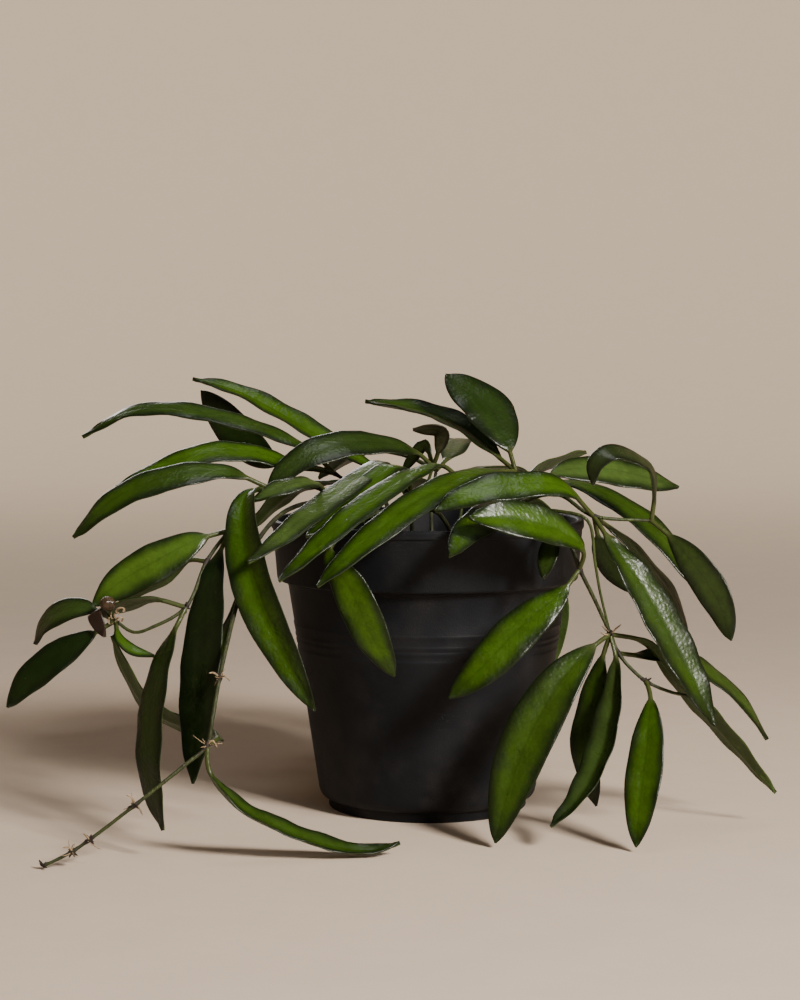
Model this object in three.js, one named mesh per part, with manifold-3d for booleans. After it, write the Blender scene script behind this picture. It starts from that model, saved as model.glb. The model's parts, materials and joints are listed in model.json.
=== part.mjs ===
// A potted hoya: a black nursery pot, its soil, and long trailing stems with lance-shaped leaves.
// Millimetres, +Z up. The origin is the centre of the pot's underside, on the surface it stands on.
// The front of the plant, where most leaves hang, faces -Y, and +X is to the right from there.

import * as THREE from 'three';
import { mergeVertices } from 'three/addons/utils/BufferGeometryUtils.js';
import Module from 'manifold-3d';

const wasm = await Module();
wasm.setup();

// Driving dimensions of the pot
const POT = {
  height: 115,
  facets: 32,
  wall: 1.7,
  floor: 3,
  footRadius: 39.5,
  footHeight: 3.6,
  footStep: 0.9,
  cornerHeight: 9,
  radiusAtZero: 42.3,
  slope: 0.149,
  ridgeHeights: [64, 67.3, 69.6, 73.9],
  ridgeHalf: 0.7,
  ridgeDepth: 0.45,
  bandFoot: 91,
  bandFootRadius: 60,
  bandTop: 111.4,
  bandTopRadius: 61.6,
  lipRadius: 62.2,
  edgeRound: 0.8,
  hollowFlare: 1.2,
  drainHoles: 6,
  drainCircle: 24,
  drainRadius: 3.5,
};

// Driving dimensions of the soil and of the plain holes that the stems stand in
const SOIL = {
  top: 103,
  clearance: 0.35,
  rings: 4,
  bump: 1.1,
  holeFloor: 90.6,
  holeTop: 109,
  holeClearance: 0.4,
};

// Driving dimensions of a leaf. The stations are shares of the blade's length.
const LEAF = {
  middleThickness: 1.5,
  marginThickness: 0.7,
  petiole: 8,
  petioleRadius: 0.9,
  petioleFlatness: 0.6,
  longestPetioleShare: 0.35,
  roundShareOfPetiole: 0.8,
  tipHalfWidth: 0.45,
  outlinePower: 0.85,
  fold: 5,
  stations: [0.12, 0.35, 0.6, 0.85, 1],
  pathSteps: 40,
};

// Driving dimensions of stems, roots and buds
const STEM = {
  radius: 1.2,
  shootRadius: 0.9,
  rootRadius: 0.45,
  swelling: 1.4,
  sides: 5,
  rootSides: 3,
  pegSides: 8,
  step: 14,
  foot: 91,
  clearOfSoil: 107,
};

// The photograph's camera, in millimetres and in pixels of its frame of 800 x 1000, to place what it shows
const VIEW = {
  x: -11,
  distance: 957,
  height: 192.5,
  pitchDegrees: 4.2,
  focalPixels: 2409,
  middleColumn: 400,
  middleRow: 500,
};

const DEGREE = Math.PI / 180;
const vector = (p) => new THREE.Vector3(p[0], p[1], p[2]);

// The place, in whole millimetres, of a pixel of the photograph at a chosen y
function seen(column, row, y) {
  const pitch = VIEW.pitchDegrees * DEGREE;
  const away = VIEW.distance + y;
  const drop = away * Math.tan(Math.atan((row - VIEW.middleRow) / VIEW.focalPixels) + pitch);
  const depth = away * Math.cos(pitch) + drop * Math.sin(pitch);
  const x = VIEW.x + ((column - VIEW.middleColumn) * depth) / VIEW.focalPixels;
  return [Math.round(x), y, Math.round(VIEW.height - drop)];
}

// A closed three.js geometry as a solid, turned the right way out
function solidOf(geometry) {
  const bare = geometry.clone();
  bare.deleteAttribute('normal');
  bare.deleteAttribute('uv');
  const merged = mergeVertices(bare, 1e-4);
  const index = merged.index.array;
  const triangles = [];
  for (let i = 0; i < index.length; i += 3) {
    const [a, b, c] = [index[i], index[i + 1], index[i + 2]];
    if (a !== b && b !== c && c !== a) triangles.push(a, b, c);
  }
  const build = (list) => new wasm.Manifold(new wasm.Mesh({
    numProp: 3,
    vertProperties: new Float32Array(merged.attributes.position.array),
    triVerts: new Uint32Array(list),
  }));
  const solid = build(triangles);
  if (solid.volume() >= 0) return solid;
  const turned = [];
  for (let i = 0; i < triangles.length; i += 3) turned.push(triangles[i], triangles[i + 2], triangles[i + 1]);
  return build(turned);
}

// The vertices and triangles of a finished solid as a three.js geometry
function geometryOf(solid) {
  const mesh = solid.getMesh();
  const geometry = new THREE.BufferGeometry();
  geometry.setAttribute('position', new THREE.BufferAttribute(new Float32Array(mesh.vertProperties), 3));
  geometry.setIndex(new THREE.BufferAttribute(new Uint32Array(mesh.triVerts), 1));
  geometry.computeVertexNormals();
  return geometry;
}

const joined = (solids) => solids.reduce((whole, piece) => whole.add(piece));
const wallRadius = (z) => POT.radiusAtZero + POT.slope * z;

// A lathed solid about +Z from a profile of [radius, height] pairs
function turned(profile) {
  const points = profile.map(([r, z]) => new THREE.Vector2(r, z));
  return solidOf(new THREE.LatheGeometry(points, POT.facets).rotateX(90 * DEGREE));
}

// An upright round peg, for cutting holes
function peg(radius, x, y, low, high) {
  const geometry = new THREE.CylinderGeometry(radius, radius, high - low, STEM.pegSides).rotateX(90 * DEGREE);
  return solidOf(geometry.translate(x, y, (low + high) / 2));
}

function potSolid() {
  const corner = new THREE.QuadraticBezierCurve(
    new THREE.Vector2(POT.footRadius + POT.footStep, POT.footHeight + POT.footStep / 2),
    new THREE.Vector2(wallRadius(POT.cornerHeight) - POT.footStep / 2, POT.footHeight + POT.footStep),
    new THREE.Vector2(wallRadius(POT.cornerHeight), POT.cornerHeight),
  );
  const outside = [[0, 0], [POT.footRadius, 0], [POT.footRadius, POT.footHeight]];
  for (const p of corner.getPoints(3)) outside.push([p.x, p.y]);
  for (const z of POT.ridgeHeights) {
    outside.push([wallRadius(z), z - POT.ridgeHalf]);
    outside.push([wallRadius(z) + POT.ridgeDepth, z]);
    outside.push([wallRadius(z), z + POT.ridgeHalf]);
  }
  const round = POT.edgeRound;
  outside.push([wallRadius(POT.bandFoot), POT.bandFoot - round / 2]);
  outside.push([POT.bandFootRadius - round, POT.bandFoot], [POT.bandFootRadius, POT.bandFoot + round]);
  outside.push([POT.bandTopRadius, POT.bandTop]);
  outside.push([POT.lipRadius, POT.bandTop + round], [POT.lipRadius, POT.height - round]);
  outside.push([POT.lipRadius - round, POT.height]);
  return turned([...outside, ...insideProfile(0)]);
}

// The hollow's profile from the rim down to the axis, moved inwards by a clearance
function insideProfile(clearance) {
  const band = POT.bandFootRadius - POT.wall - clearance;
  const neck = wallRadius(POT.bandFoot) - POT.wall - clearance;
  const heel = wallRadius(POT.cornerHeight) - POT.wall - clearance;
  const step = POT.bandFoot + POT.wall + clearance;
  const floor = POT.floor + clearance;
  const profile = [[band, step + POT.wall], [neck, step], [heel, POT.cornerHeight]];
  profile.push([heel - POT.floor, floor], [0, floor]);
  if (clearance > 0) return profile;
  const mouth = band + POT.hollowFlare;
  return [[mouth, POT.height], [mouth - POT.hollowFlare / 2, POT.height - POT.edgeRound], ...profile];
}

function makePot() {
  let solid = potSolid();
  for (let i = 0; i < POT.drainHoles; i += 1) {
    const angle = (i / POT.drainHoles) * 2 * Math.PI;
    const [x, y] = [POT.drainCircle * Math.cos(angle), POT.drainCircle * Math.sin(angle)];
    solid = solid.subtract(peg(POT.drainRadius, x, y, -1, POT.floor + 1));
  }
  return solid;
}

// The soil fills the hollow, with an uneven top and a plain hole for each stem
function makeSoil(stems) {
  const edge = POT.bandFootRadius - POT.wall - SOIL.clearance;
  const profile = insideProfile(SOIL.clearance).reverse();
  for (let ring = 0; ring <= SOIL.rings; ring += 1) {
    profile.push([edge * (1 - ring / SOIL.rings), SOIL.top]);
  }
  const points = profile.map(([r, z]) => new THREE.Vector2(r, z));
  const geometry = new THREE.LatheGeometry(points, POT.facets).rotateX(90 * DEGREE);
  const position = geometry.attributes.position;
  for (let i = 0; i < position.count; i += 1) {
    if (position.getZ(i) < SOIL.top - 0.01) continue;
    const [x, y] = [position.getX(i), position.getY(i)];
    const lump = Math.sin(x * 0.31 + 1) * Math.cos(y * 0.27) + 0.5 * Math.sin(x * 0.11 - y * 0.19);
    position.setZ(i, SOIL.top + SOIL.bump * lump);
  }
  let solid = solidOf(geometry);
  for (const [x, y] of stems) {
    const radius = STEM.radius + SOIL.holeClearance;
    solid = solid.subtract(peg(radius, x, y, SOIL.holeFloor, SOIL.holeTop));
  }
  return solid;
}

const splineThrough = (points) => new THREE.CatmullRomCurve3(points.map(vector), false, 'centripetal');

// A round stem or root of even thickness along a spline
function tube(points, radius) {
  const path = splineThrough(points);
  const section = new THREE.Shape();
  const sides = radius > STEM.rootRadius ? STEM.sides : STEM.rootSides;
  for (let i = 0; i < sides; i += 1) {
    const angle = (i / sides) * 2 * Math.PI;
    const place = [radius * Math.cos(angle), radius * Math.sin(angle)];
    if (i === 0) section.moveTo(...place);
    else section.lineTo(...place);
  }
  section.closePath();
  const steps = Math.max(3, Math.round(path.getLength() / STEM.step));
  return solidOf(new THREE.ExtrudeGeometry(section, { steps, bevelEnabled: false, extrudePath: path }));
}

function bead(point, radius, detail = 0) {
  return solidOf(new THREE.IcosahedronGeometry(radius, detail).translate(...point));
}

// The path of a leaf with, at each station, its tangent and the direction its upper side faces.
// The face is given for the middle and carried to both ends without turning about the path.
function leafFrames(points, face, twist, stations) {
  const path = splineThrough(points);
  const count = LEAF.pathSteps;
  const tangents = [];
  for (let i = 0; i <= count; i += 1) tangents.push(path.getTangentAt(i / count));
  const upright = (up, tangent) => up.clone().addScaledVector(tangent, -up.dot(tangent)).normalize();
  const ups = new Array(count + 1);
  ups[count / 2] = upright(vector(face), tangents[count / 2]);
  for (let i = count / 2 + 1; i <= count; i += 1) ups[i] = upright(ups[i - 1], tangents[i]);
  for (let i = count / 2 - 1; i >= 0; i -= 1) ups[i] = upright(ups[i + 1], tangents[i]);
  return stations.map((s) => {
    const i = Math.round(s * count);
    const tangent = tangents[i];
    const up = ups[i].clone().applyAxisAngle(tangent, twist * DEGREE * (s - 0.5));
    return { centre: path.getPointAt(i / count), up, side: new THREE.Vector3().crossVectors(tangent, up) };
  });
}

// One leaf: a round petiole that opens into a lance-shaped blade, thick in the middle, folded in a
// shallow V. Each station has three points above and three below, split alike on both faces.
function makeLeaf(origin, row) {
  const points = [origin, ...row.through];
  const length = splineThrough(points).getLength();
  const start = Math.min(LEAF.longestPetioleShare, row.petiole / length);
  const onBlade = LEAF.stations.map((s) => start + (1 - start) * s);
  const stations = [0, start * LEAF.roundShareOfPetiole, ...onBlade];
  const fold = row.fold * DEGREE;
  const rings = leafFrames(points, row.face, row.twist, stations).map((frame, i) => {
    const s = i < 2 ? 0 : LEAF.stations[i - 2];
    const outline = (4 * s * (1 - s)) ** LEAF.outlinePower;
    const smallest = s === 1 ? LEAF.tipHalfWidth : LEAF.petioleRadius;
    const half = Math.max(smallest, (outline * row.width) / 2);
    const middle = i < 2 ? LEAF.petioleRadius : LEAF.middleThickness / 2;
    const centreHalf = s === 1 ? LEAF.tipHalfWidth : middle;
    const edgeHalf = i < 2 ? LEAF.petioleRadius * LEAF.petioleFlatness : LEAF.marginThickness / 2;
    const lift = i < 2 || s === 1 ? 0 : half * Math.sin(fold);
    const reach = half * Math.cos(fold);
    const at = (across, height) => frame.centre.clone()
      .addScaledVector(frame.side, across).addScaledVector(frame.up, height);
    const upper = [at(-reach, lift + edgeHalf), at(0, centreHalf), at(reach, lift + edgeHalf)];
    const lower = [at(-reach, lift - edgeHalf), at(0, -centreHalf), at(reach, lift - edgeHalf)];
    return [...upper, ...lower];
  });
  return loft(rings);
}

// A closed solid through rings of six points: 0, 1, 2 across the upper face and 3, 4, 5 below them
function loft(rings) {
  const index = [];
  const quad = (a, b, c, d) => index.push(a, b, c, a, c, d);
  for (let i = 0; i < rings.length - 1; i += 1) {
    const [here, next] = [i * 6, i * 6 + 6];
    for (const j of [0, 1]) {
      quad(here + j, here + j + 1, next + j + 1, next + j);
      index.push(here + 3 + j, next + 4 + j, here + 4 + j, here + 3 + j, next + 3 + j, next + 4 + j);
    }
    quad(here, next, next + 3, here + 3);
    quad(here + 2, here + 5, next + 5, next + 2);
  }
  const last = (rings.length - 1) * 6;
  for (const j of [0, 1]) {
    quad(j, j + 3, j + 4, j + 1);
    quad(last + j, last + j + 1, last + j + 4, last + j + 3);
  }
  const geometry = new THREE.BufferGeometry().setFromPoints(rings.flat());
  geometry.setIndex(index);
  return solidOf(geometry);
}

// One row of a vine's table: the stem point it grows from, the points its midrib bends through as
// far as the tip, its greatest width and the direction its upper side faces at the middle
function leaf(at, through, width, face, options = {}) {
  return { at, through, width, face, fold: LEAF.fold, twist: 0, petiole: LEAF.petiole, on: 0, ...options };
}

// A thinner stem or a root: which stem point it leaves, on which stem, and the points it runs through
const shoot = (at, through, radius = STEM.shootRadius, on = 0) => ({ at, through, radius, on });
const root = (at, through, on = 0) => shoot(at, through, STEM.rootRadius, on);

// Where a stem comes clear of the soil, straight above its hole
const foot = (x, y) => [x, y, STEM.clearOfSoil];

// Each vine is a main stem, its side shoots and roots, and its leaves
const VINES = {
  // Arches over the rim at the front left and ends in the flower spur
  vine_left: {
    stem: [foot(-22, -16), [-30, -22, 121], [-40, -30, 128], [-50, -36, 131], seen(268, 487, -42),
      seen(228, 530, -58), seen(207, 562, -64), [-90, -74, 88], seen(153, 627, -77),
      seen(133, 631, -76), seen(116, 622, -74)],
    shoots: [shoot(10, [[-117, -77, 86], [-118, -79, 89]], 0.8)],
    buds: [{ place: [-118, -80, 90], radius: 2.7 }],
    leaves: [
      leaf(2, [[-44, -42, 132], [-54, -50, 131], [-66, -56, 126]], 11, [1, 3, 9]),
      leaf(4, [[-76, -44, 136], [-94, -47, 135], [-117, -50, 127], seen(73, 537, -54)], 16, [0, -5, 8]),
      leaf(4, [seen(248, 496, -52), [-69, -65, 116], [-64, -78, 95], [-52, -86, 70], [-42, -90, 52]], 18,
        [-3, -9, 1], { fold: 20 }),
      leaf(5, [seen(200, 540, -62), seen(160, 560, -66), seen(122, 582, -68), seen(91, 606, -70)], 16,
        [-1, -7, 7]),
      leaf(5, [seen(214, 570, -68), seen(204, 640, -80), seen(196, 710, -88), seen(193, 785, -94)], 17,
        [-2, -9, 1], { fold: 14 }),
      leaf(6, [seen(190, 560, -60), seen(155, 580, -56), seen(118, 602, -54)], 12, [0, 4, 8]),
      leaf(7, [seen(164, 655, -84), seen(151, 710, -92), seen(150, 775, -99), seen(162, 830, -104)], 15,
        [-7, -7, 0]),
      leaf(7, [seen(153, 600, -74), seen(128, 606, -70), [-122, -66, 84]], 12, [0, 3, 9]),
      leaf(10, [seen(92, 610, -72), seen(62, 612, -68), seen(42, 626, -66), seen(34, 645, -65)], 13,
        [-2, -6, 7]),
      leaf(10, [[-123, -76, 79], [-136, -78, 71], seen(30, 680, -80), [-155, -82, 52]], 13, [-4, -9, 3]),
      leaf(10, [[-121, -79, 83], [-118, -82, 75]], 7, [-5, -8, -1], { petiole: 3 }),
      leaf(10, [seen(118, 638, -79), [-109, -81, 73], [-101, -82, 71]], 5, [3, -6, 6], { petiole: 3 }),
    ],
  },
  // Hangs in front of the pot on the left and trails forwards to lie on the surface
  vine_trailing: {
    stem: [foot(-30, -4), [-40, -14, 121], [-54, -34, 121], [-65, -55, 110], [-70, -70, 94],
      [-76, -96, 65], [-78, -103, 52], [-80, -105, 42], [-87, -108, 36], [-96, -111, 29],
      [-105, -113, 22], [-121, -115, 10], [-127, -116, 6], [-137, -118, 1.2]],
    shoots: [
      root(5, [[-74, -98, 66], [-72, -98, 64]]), root(5, [[-78, -97, 67], [-80, -98, 67]]),
      root(7, [[-78, -106, 44], [-76, -106, 41]]), root(10, [[-106, -114, 25], [-108, -115, 26]]),
      root(10, [[-103, -115, 21], [-102, -116, 19]]), root(11, [[-122, -117, 12], [-123, -118, 13]]),
      root(12, [[-128, -118, 8], [-130, -119, 8]]),
    ],
    buds: [],
    leaves: [
      leaf(4, [[-76, -71, 78], [-80, -73, 60], [-82, -75, 42]], 9, [9, -4, 0]),
      leaf(7, [[-77, -98, 43], [-78, -87, 43], [-87, -81, 44], [-103, -77, 51], [-112, -75, 64],
        [-117, -76, 78]], 12, [5, 5, 5]),
      leaf(7, [[-79, -107, 33], [-69, -106, 20], [-56, -104, 12], [-37, -100, 4], [-22, -98, 1.8],
        [-11, -97, 5]], 12, [1, -3, 9], { fold: 26 }),
    ],
  },
  // Rises on the left and carries the topmost leaves there
  vine_upper_left: {
    stem: [foot(-20, 6), [-26, 4, 122], [-37, -3, 133], [-52, 2, 137]],
    shoots: [],
    buds: [],
    leaves: [
      leaf(2, [[-47, -3, 142], seen(250, 425, 0), [-99, 4, 158], [-119, 6, 157], [-138, 6, 147]], 12,
        [0, -3, 9]),
      leaf(2, [[-53, -12, 137], [-70, -16, 142], [-86, -20, 142], [-107, -24, 135], [-121, -26, 129]], 14,
        [0, -5, 8]),
      leaf(3, [[-64, 10, 138], [-76, 18, 147], [-84, 22, 156], seen(202, 391, 26)], 15, [-3, -9, 2]),
    ],
  },
  // Rises in the middle and lays its leaves over the front left of the rim
  vine_centre: {
    stem: [foot(-6, -2), [-6, -4, 120], [0, -7, 130], [2, -8, 136]],
    shoots: [],
    buds: [],
    leaves: [
      leaf(1, [[-12, 3, 129], [-20, 6, 133], [-36, 10, 142], [-55, 14, 153], [-76, 18, 164],
        seen(192, 379, 20)],
        14, [3, -5, 8], { fold: 24, petiole: 18 }),
      leaf(1, [[-12, -9, 133], [-18, -15, 138], seen(355, 482, -34), seen(310, 515, -60), [-57, -76, 112],
        [-66, -88, 106]], 15, [-3, -6, 7], { petiole: 16 }),
      leaf(1, [[-8, -12, 132], [-14, -25, 137], [-30, -45, 125], [-46, -62, 113]], 13,
        [-3, -6, 7], { petiole: 16 }),
      leaf(3, [seen(415, 453, -12), seen(362, 442, -20), seen(325, 449, -26), seen(296, 462, -30),
        seen(266, 488, -36)], 17,
        [0, -8, 6]),
      leaf(3, [seen(429, 447, -14), seen(430, 433, -24)], 9, [0, -5, 9], { petiole: 6 }),
      leaf(3, [seen(424, 445, -2), seen(413, 458, 2), seen(402, 472, 4)], 6, [-4, -8, 3], { petiole: 5 }),
    ],
  },
  // Crosses the front of the rim low down
  vine_front: {
    stem: [foot(10, -22), [4, -28, 119], [-8, -40, 122], [-20, -52, 121], [-32, -62, 115]],
    shoots: [shoot(0, [[13, -20, 120], [13, -19, 131]])],
    buds: [],
    leaves: [
      leaf(4, [[-37, -66, 108], [-29, -71, 94], [-21, -73, 77], [-13, -72, 62]], 15, [5, -9, 2]),
      leaf(2, [[6, -22, 137], [-6, -37, 135], seen(370, 502, -56), seen(325, 540, -74),
        seen(279, 580, -86)], 15,
        [-4, -6, 6], { on: 1 }),
    ],
  },
  // Stands highest and carries the upright leaves right of the middle
  vine_crown: {
    stem: [foot(30, -6), [33, -14, 124], seen(515, 470, -20)],
    shoots: [],
    buds: [],
    leaves: [
      leaf(2, [seen(470, 475, -40), seen(430, 496, -56), seen(385, 527, -70), seen(345, 560, -80),
        seen(318, 587, -86)], 17,
        [-4, -6, 6]),
      leaf(2, [seen(508, 445, -16), seen(488, 408, -8), seen(445, 374, 0)], 20, [5, -8, 3]),
      leaf(2, [[24, -12, 143], [13, -2, 151], [-3, 8, 157], seen(365, 401, 16)], 17, [3, -4, 8],
        { fold: 20 }),
      leaf(1, [[26, -44, 122], [20, -60, 119], [13, -74, 115], [7, -86, 108]], 15, [1, -6, 8]),
    ],
  },
  // Crosses the rim at the front right and carries the broad leaves there
  vine_right_upper: {
    stem: [foot(22, -16), [34, -26, 122], [49, -36, 127], seen(593, 515, -52), seen(652, 522, -50)],
    shoots: [],
    buds: [],
    leaves: [
      leaf(3, [seen(562, 488, -58), seen(510, 487, -62), [15, -65, 129], [2, -68, 123]], 15, [0, -6, 7]),
      leaf(3, [seen(607, 538, -57), seen(640, 588, -62), seen(682, 660, -66), seen(716, 727, -70)], 18,
        [5, -8, 3], { fold: 10 }),
      leaf(3, [seen(615, 532, -44), seen(650, 566, -44), seen(676, 604, -46), seen(686, 640, -48)], 15,
        [6, -3, 7]),
      leaf(3, [[65, -48, 109], [71, -46, 100], [78, -44, 90]], 12, [-6, -6, 5]),
      leaf(4, [seen(654, 490, -51), [83, -51, 138], [75, -53, 143], [67, -57, 144], [62, -59, 140],
        [61, -60, 132]], 12, [1, 3, 9]),
      leaf(4, [[92, -54, 111], [102, -58, 99], [109, -60, 87], [113, -62, 74]], 13, [5, -8, 3]),
    ],
  },
  // Hangs at the right and carries the leaves that reach down to the surface
  vine_right_hanging: {
    stem: [foot(26, -28), [36, -42, 121], [46, -54, 118], [53, -61, 109], [56, -63, 101], [62, -60, 89],
      seen(609, 634, -58), [71, -60, 69], [75, -62, 64], seen(645, 682, -64), seen(669, 692, -64),
      seen(690, 697, -62)],
    shoots: [
      shoot(1, [[49, -55, 122], [59, -60, 119], [62, -60, 103], [64, -59, 92], seen(609, 634, -58)]),
      root(6, [[66, -60, 76], [64, -61, 77]]), root(6, [[70, -59, 78], [72, -60, 80]]),
      root(11, [[100, -63, 54], [102, -64, 54]]), root(11, [[99, -63, 51], [100, -64, 49]]),
    ],
    buds: [],
    leaves: [
      leaf(4, [[57, -67, 108], [47, -71, 116], [30, -78, 121], [14, -84, 122]], 16, [2, -7, 6]),
      leaf(4, [[49, -69, 93], [33, -75, 80], [20, -79, 67], [7, -80, 55]], 16, [-2, -9, 3]),
      leaf(2, [[45, -64, 110], [42, -69, 98]], 8, [3, -9, 0], { petiole: 5 }),
      leaf(6, [seen(590, 650, -64), [47, -71, 57], [35, -77, 36], [28, -81, 17], [24, -84, 2]], 20,
        [-2, -9, 1], { fold: 12 }),
      leaf(6, [[70, -62, 66], [69, -66, 52], [64, -74, 33], [55, -82, 18], [44, -88, 9]], 14,
        [-6, -7, 1], { fold: 30 }),
      leaf(6, [[65, -57, 66], [62, -58, 51], [59, -59, 32], seen(596, 806, -60)], 13, [-5, -8, 0]),
      leaf(6, [[82, -54, 72], [97, -50, 54], [115, -46, 34], [133, -44, 13]], 11, [5, 6, 6]),
      leaf(7, [seen(640, 655, -52), [96, -45, 66], [109, -42, 58], [121, -41, 47], [130, -41, 33]], 12,
        [3, -4, 8]),
      leaf(9, [seen(651, 698, -70), [80, -79, 36], [77, -86, 18], [75, -91, 2]], 14, [0, -9, 1],
        { fold: 12 }),
    ],
  },
  // Rises at the right behind the crown
  vine_far_right: {
    stem: [foot(34, 8), [36, 2, 121], [42, -4, 128]],
    shoots: [],
    buds: [],
    leaves: [
      leaf(1, [[40, 10, 131], seen(555, 462, 18), seen(587, 452, 26)], 13, [0, 5, 8]),
      leaf(2, [seen(555, 474, 0), [69, 8, 134], [88, 14, 130], seen(679, 488, 18)], 16, [0, -7, 7]),
      leaf(2, [[56, -14, 130], [68, -22, 126], [84, -30, 116], seen(690, 570, -36),
        seen(724, 618, -40)], 15,
        [4, -5, 7]),
    ],
  },
  // Stands upright behind the middle
  vine_back_middle: {
    stem: [foot(2, 28), [2, 32, 122], [4, 34, 132]],
    shoots: [],
    buds: [],
    leaves: [
      leaf(2, [[10, 46, 138], [12, 68, 143], [12, 94, 136]], 16, [0, -2, 9]),
      leaf(2, [[-10, 44, 138], [-28, 60, 138], [-46, 78, 126]], 15, [0, 1, 9]),
      leaf(1, [[16, 48, 130], [34, 64, 131], [52, 80, 120]], 15, [0, 1, 9]),
    ],
  },
  // Hang down behind the pot
  vine_back_left: {
    stem: [foot(-14, 22), [-18, 38, 122], [-22, 58, 123], [-26, 74, 106], [-28, 82, 84], [-27, 86, 62]],
    shoots: [],
    buds: [],
    leaves: [
      leaf(1, [[-34, 46, 126], [-56, 58, 122], [-76, 72, 104]], 16, [-2, 3, 9]),
      leaf(2, [[-36, 72, 120], [-48, 92, 106], [-54, 106, 82]], 17, [-3, 6, 7]),
      leaf(2, [[-10, 72, 126], [0, 92, 116], [4, 106, 96]], 17, [1, 6, 7]),
      leaf(3, [[-38, 88, 92], [-44, 96, 70], [-43, 98, 46]], 16, [-3, 9, 2]),
      leaf(3, [[-14, 90, 92], [-7, 98, 72], [-6, 100, 48]], 15, [3, 9, 2]),
      leaf(4, [[-36, 92, 66], [-40, 98, 44], [-38, 99, 22]], 15, [-2, 9, 1]),
      leaf(5, [[-22, 92, 44], [-18, 96, 26], [-15, 97, 9]], 14, [2, 9, 1]),
    ],
  },
  vine_back_right: {
    stem: [foot(16, 20), [22, 36, 121], [30, 55, 121], [36, 68, 106], [38, 76, 86], [36, 80, 64]],
    shoots: [],
    buds: [],
    leaves: [
      leaf(2, [[44, 70, 116], [56, 84, 98], [60, 92, 74]], 17, [4, 7, 5]),
      leaf(2, [[24, 76, 118], [22, 94, 100], [22, 103, 76]], 16, [0, 7, 6]),
      leaf(3, [[50, 80, 92], [56, 86, 68], [56, 88, 44]], 15, [4, 9, 2]),
      leaf(3, [[28, 86, 88], [22, 94, 66], [20, 96, 42]], 15, [-2, 9, 2]),
      leaf(4, [[44, 86, 66], [44, 90, 44], [42, 91, 22]], 15, [2, 9, 1]),
      leaf(5, [[30, 88, 46], [26, 92, 28], [24, 93, 10]], 14, [-1, 9, 1]),
    ],
  },
};

// A vine fused into one solid: stems first, then a swelling at each point that leaves grow from
function makeVine({ stem, shoots, buds, leaves }) {
  const stems = [stem];
  const [x, y, z] = stem[0];
  const solids = [peg(STEM.radius, x, y, STEM.foot, z), bead(stem[0], STEM.radius), tube(stem, STEM.radius)];
  for (const side of shoots) {
    const points = [stems[side.on][side.at], ...side.through];
    if (side.radius > STEM.rootRadius) stems.push(points);
    solids.push(tube(points, side.radius));
  }
  const origins = new Set(leaves.map((row) => stems[row.on][row.at]));
  for (const origin of origins) solids.push(bead(origin, STEM.radius * STEM.swelling));
  for (const row of leaves) solids.push(makeLeaf(stems[row.on][row.at], row));
  for (const bud of buds) solids.push(bead(bud.place, bud.radius, 1));
  return joined(solids);
}

const PLASTIC = { color: 0x1c1b1a, roughness: 0.55, metalness: 0 };
const EARTH = { color: 0x2b2019, roughness: 0.95, metalness: 0 };
const FOLIAGE = { color: 0x3f6b12, roughness: 0.35, metalness: 0 };

const plant = new THREE.Group();

function place(name, solid, finish) {
  const mesh = new THREE.Mesh(geometryOf(solid), new THREE.MeshStandardMaterial(finish));
  mesh.name = name;
  plant.add(mesh);
}

place('pot', makePot(), PLASTIC);
place('soil', makeSoil(Object.values(VINES).map((vine) => vine.stem[0])), EARTH);
for (const [name, vine] of Object.entries(VINES)) place(name, makeVine(vine), FOLIAGE);

export default plant;
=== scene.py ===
"""A potted hoya: a black nursery pot of potting mix with long leafy stems, dressed for its last render."""

import json
import logging
import math
import random
from collections.abc import Sequence
from dataclasses import dataclass
from enum import Enum

import bmesh
import bpy
from mathutils import Matrix, Vector, noise

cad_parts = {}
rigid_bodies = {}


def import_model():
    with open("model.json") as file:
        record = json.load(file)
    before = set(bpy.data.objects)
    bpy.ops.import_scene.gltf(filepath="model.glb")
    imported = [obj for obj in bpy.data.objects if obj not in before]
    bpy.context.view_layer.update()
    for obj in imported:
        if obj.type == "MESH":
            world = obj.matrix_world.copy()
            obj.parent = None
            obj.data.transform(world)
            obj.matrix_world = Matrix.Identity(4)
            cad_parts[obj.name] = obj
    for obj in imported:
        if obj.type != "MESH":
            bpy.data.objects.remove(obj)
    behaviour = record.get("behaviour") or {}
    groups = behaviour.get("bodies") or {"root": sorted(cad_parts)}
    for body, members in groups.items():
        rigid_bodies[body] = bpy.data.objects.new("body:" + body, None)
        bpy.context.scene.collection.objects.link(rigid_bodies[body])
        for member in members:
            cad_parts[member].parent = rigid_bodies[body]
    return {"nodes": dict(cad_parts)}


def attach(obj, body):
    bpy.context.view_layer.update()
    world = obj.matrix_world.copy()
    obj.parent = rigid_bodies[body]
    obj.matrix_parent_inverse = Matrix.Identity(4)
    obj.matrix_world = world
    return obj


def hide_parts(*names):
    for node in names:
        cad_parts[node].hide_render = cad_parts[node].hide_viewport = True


LOG = logging.getLogger("potted_hoya")
MM = 0.001
BODY = "root"

# Points of a turned outline nearer than this share of its unit are one
SAME = 0.001

# The lowest middle, in millimetres, of a root or scale near the surface
ABOVE_FLOOR = 0.6

Point = tuple[float, float, float]
Colour = tuple[float, float, float, float]
Spot = tuple[float, float]
Socket = bpy.types.NodeSocket
Values = dict[str | int, object]


@dataclass(frozen=True)
class Camera:
    """The photograph's camera, in millimetres, degrees and pixels of its frame of 800 x 1000."""

    x: float = -11.0
    distance: float = 957.0
    height: float = 192.5
    pitch: float = 4.2
    focal_pixels: float = 2409.0
    image_width: float = 800.0
    image_height: float = 1000.0
    sensor_width: float = 36.0
    nearest: float = 20.0
    furthest: float = 20000.0

    @property
    def eye(self) -> Point:
        """The camera's place in metres."""
        return (self.x * MM, -self.distance * MM, self.height * MM)


CAMERA = Camera()


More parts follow.
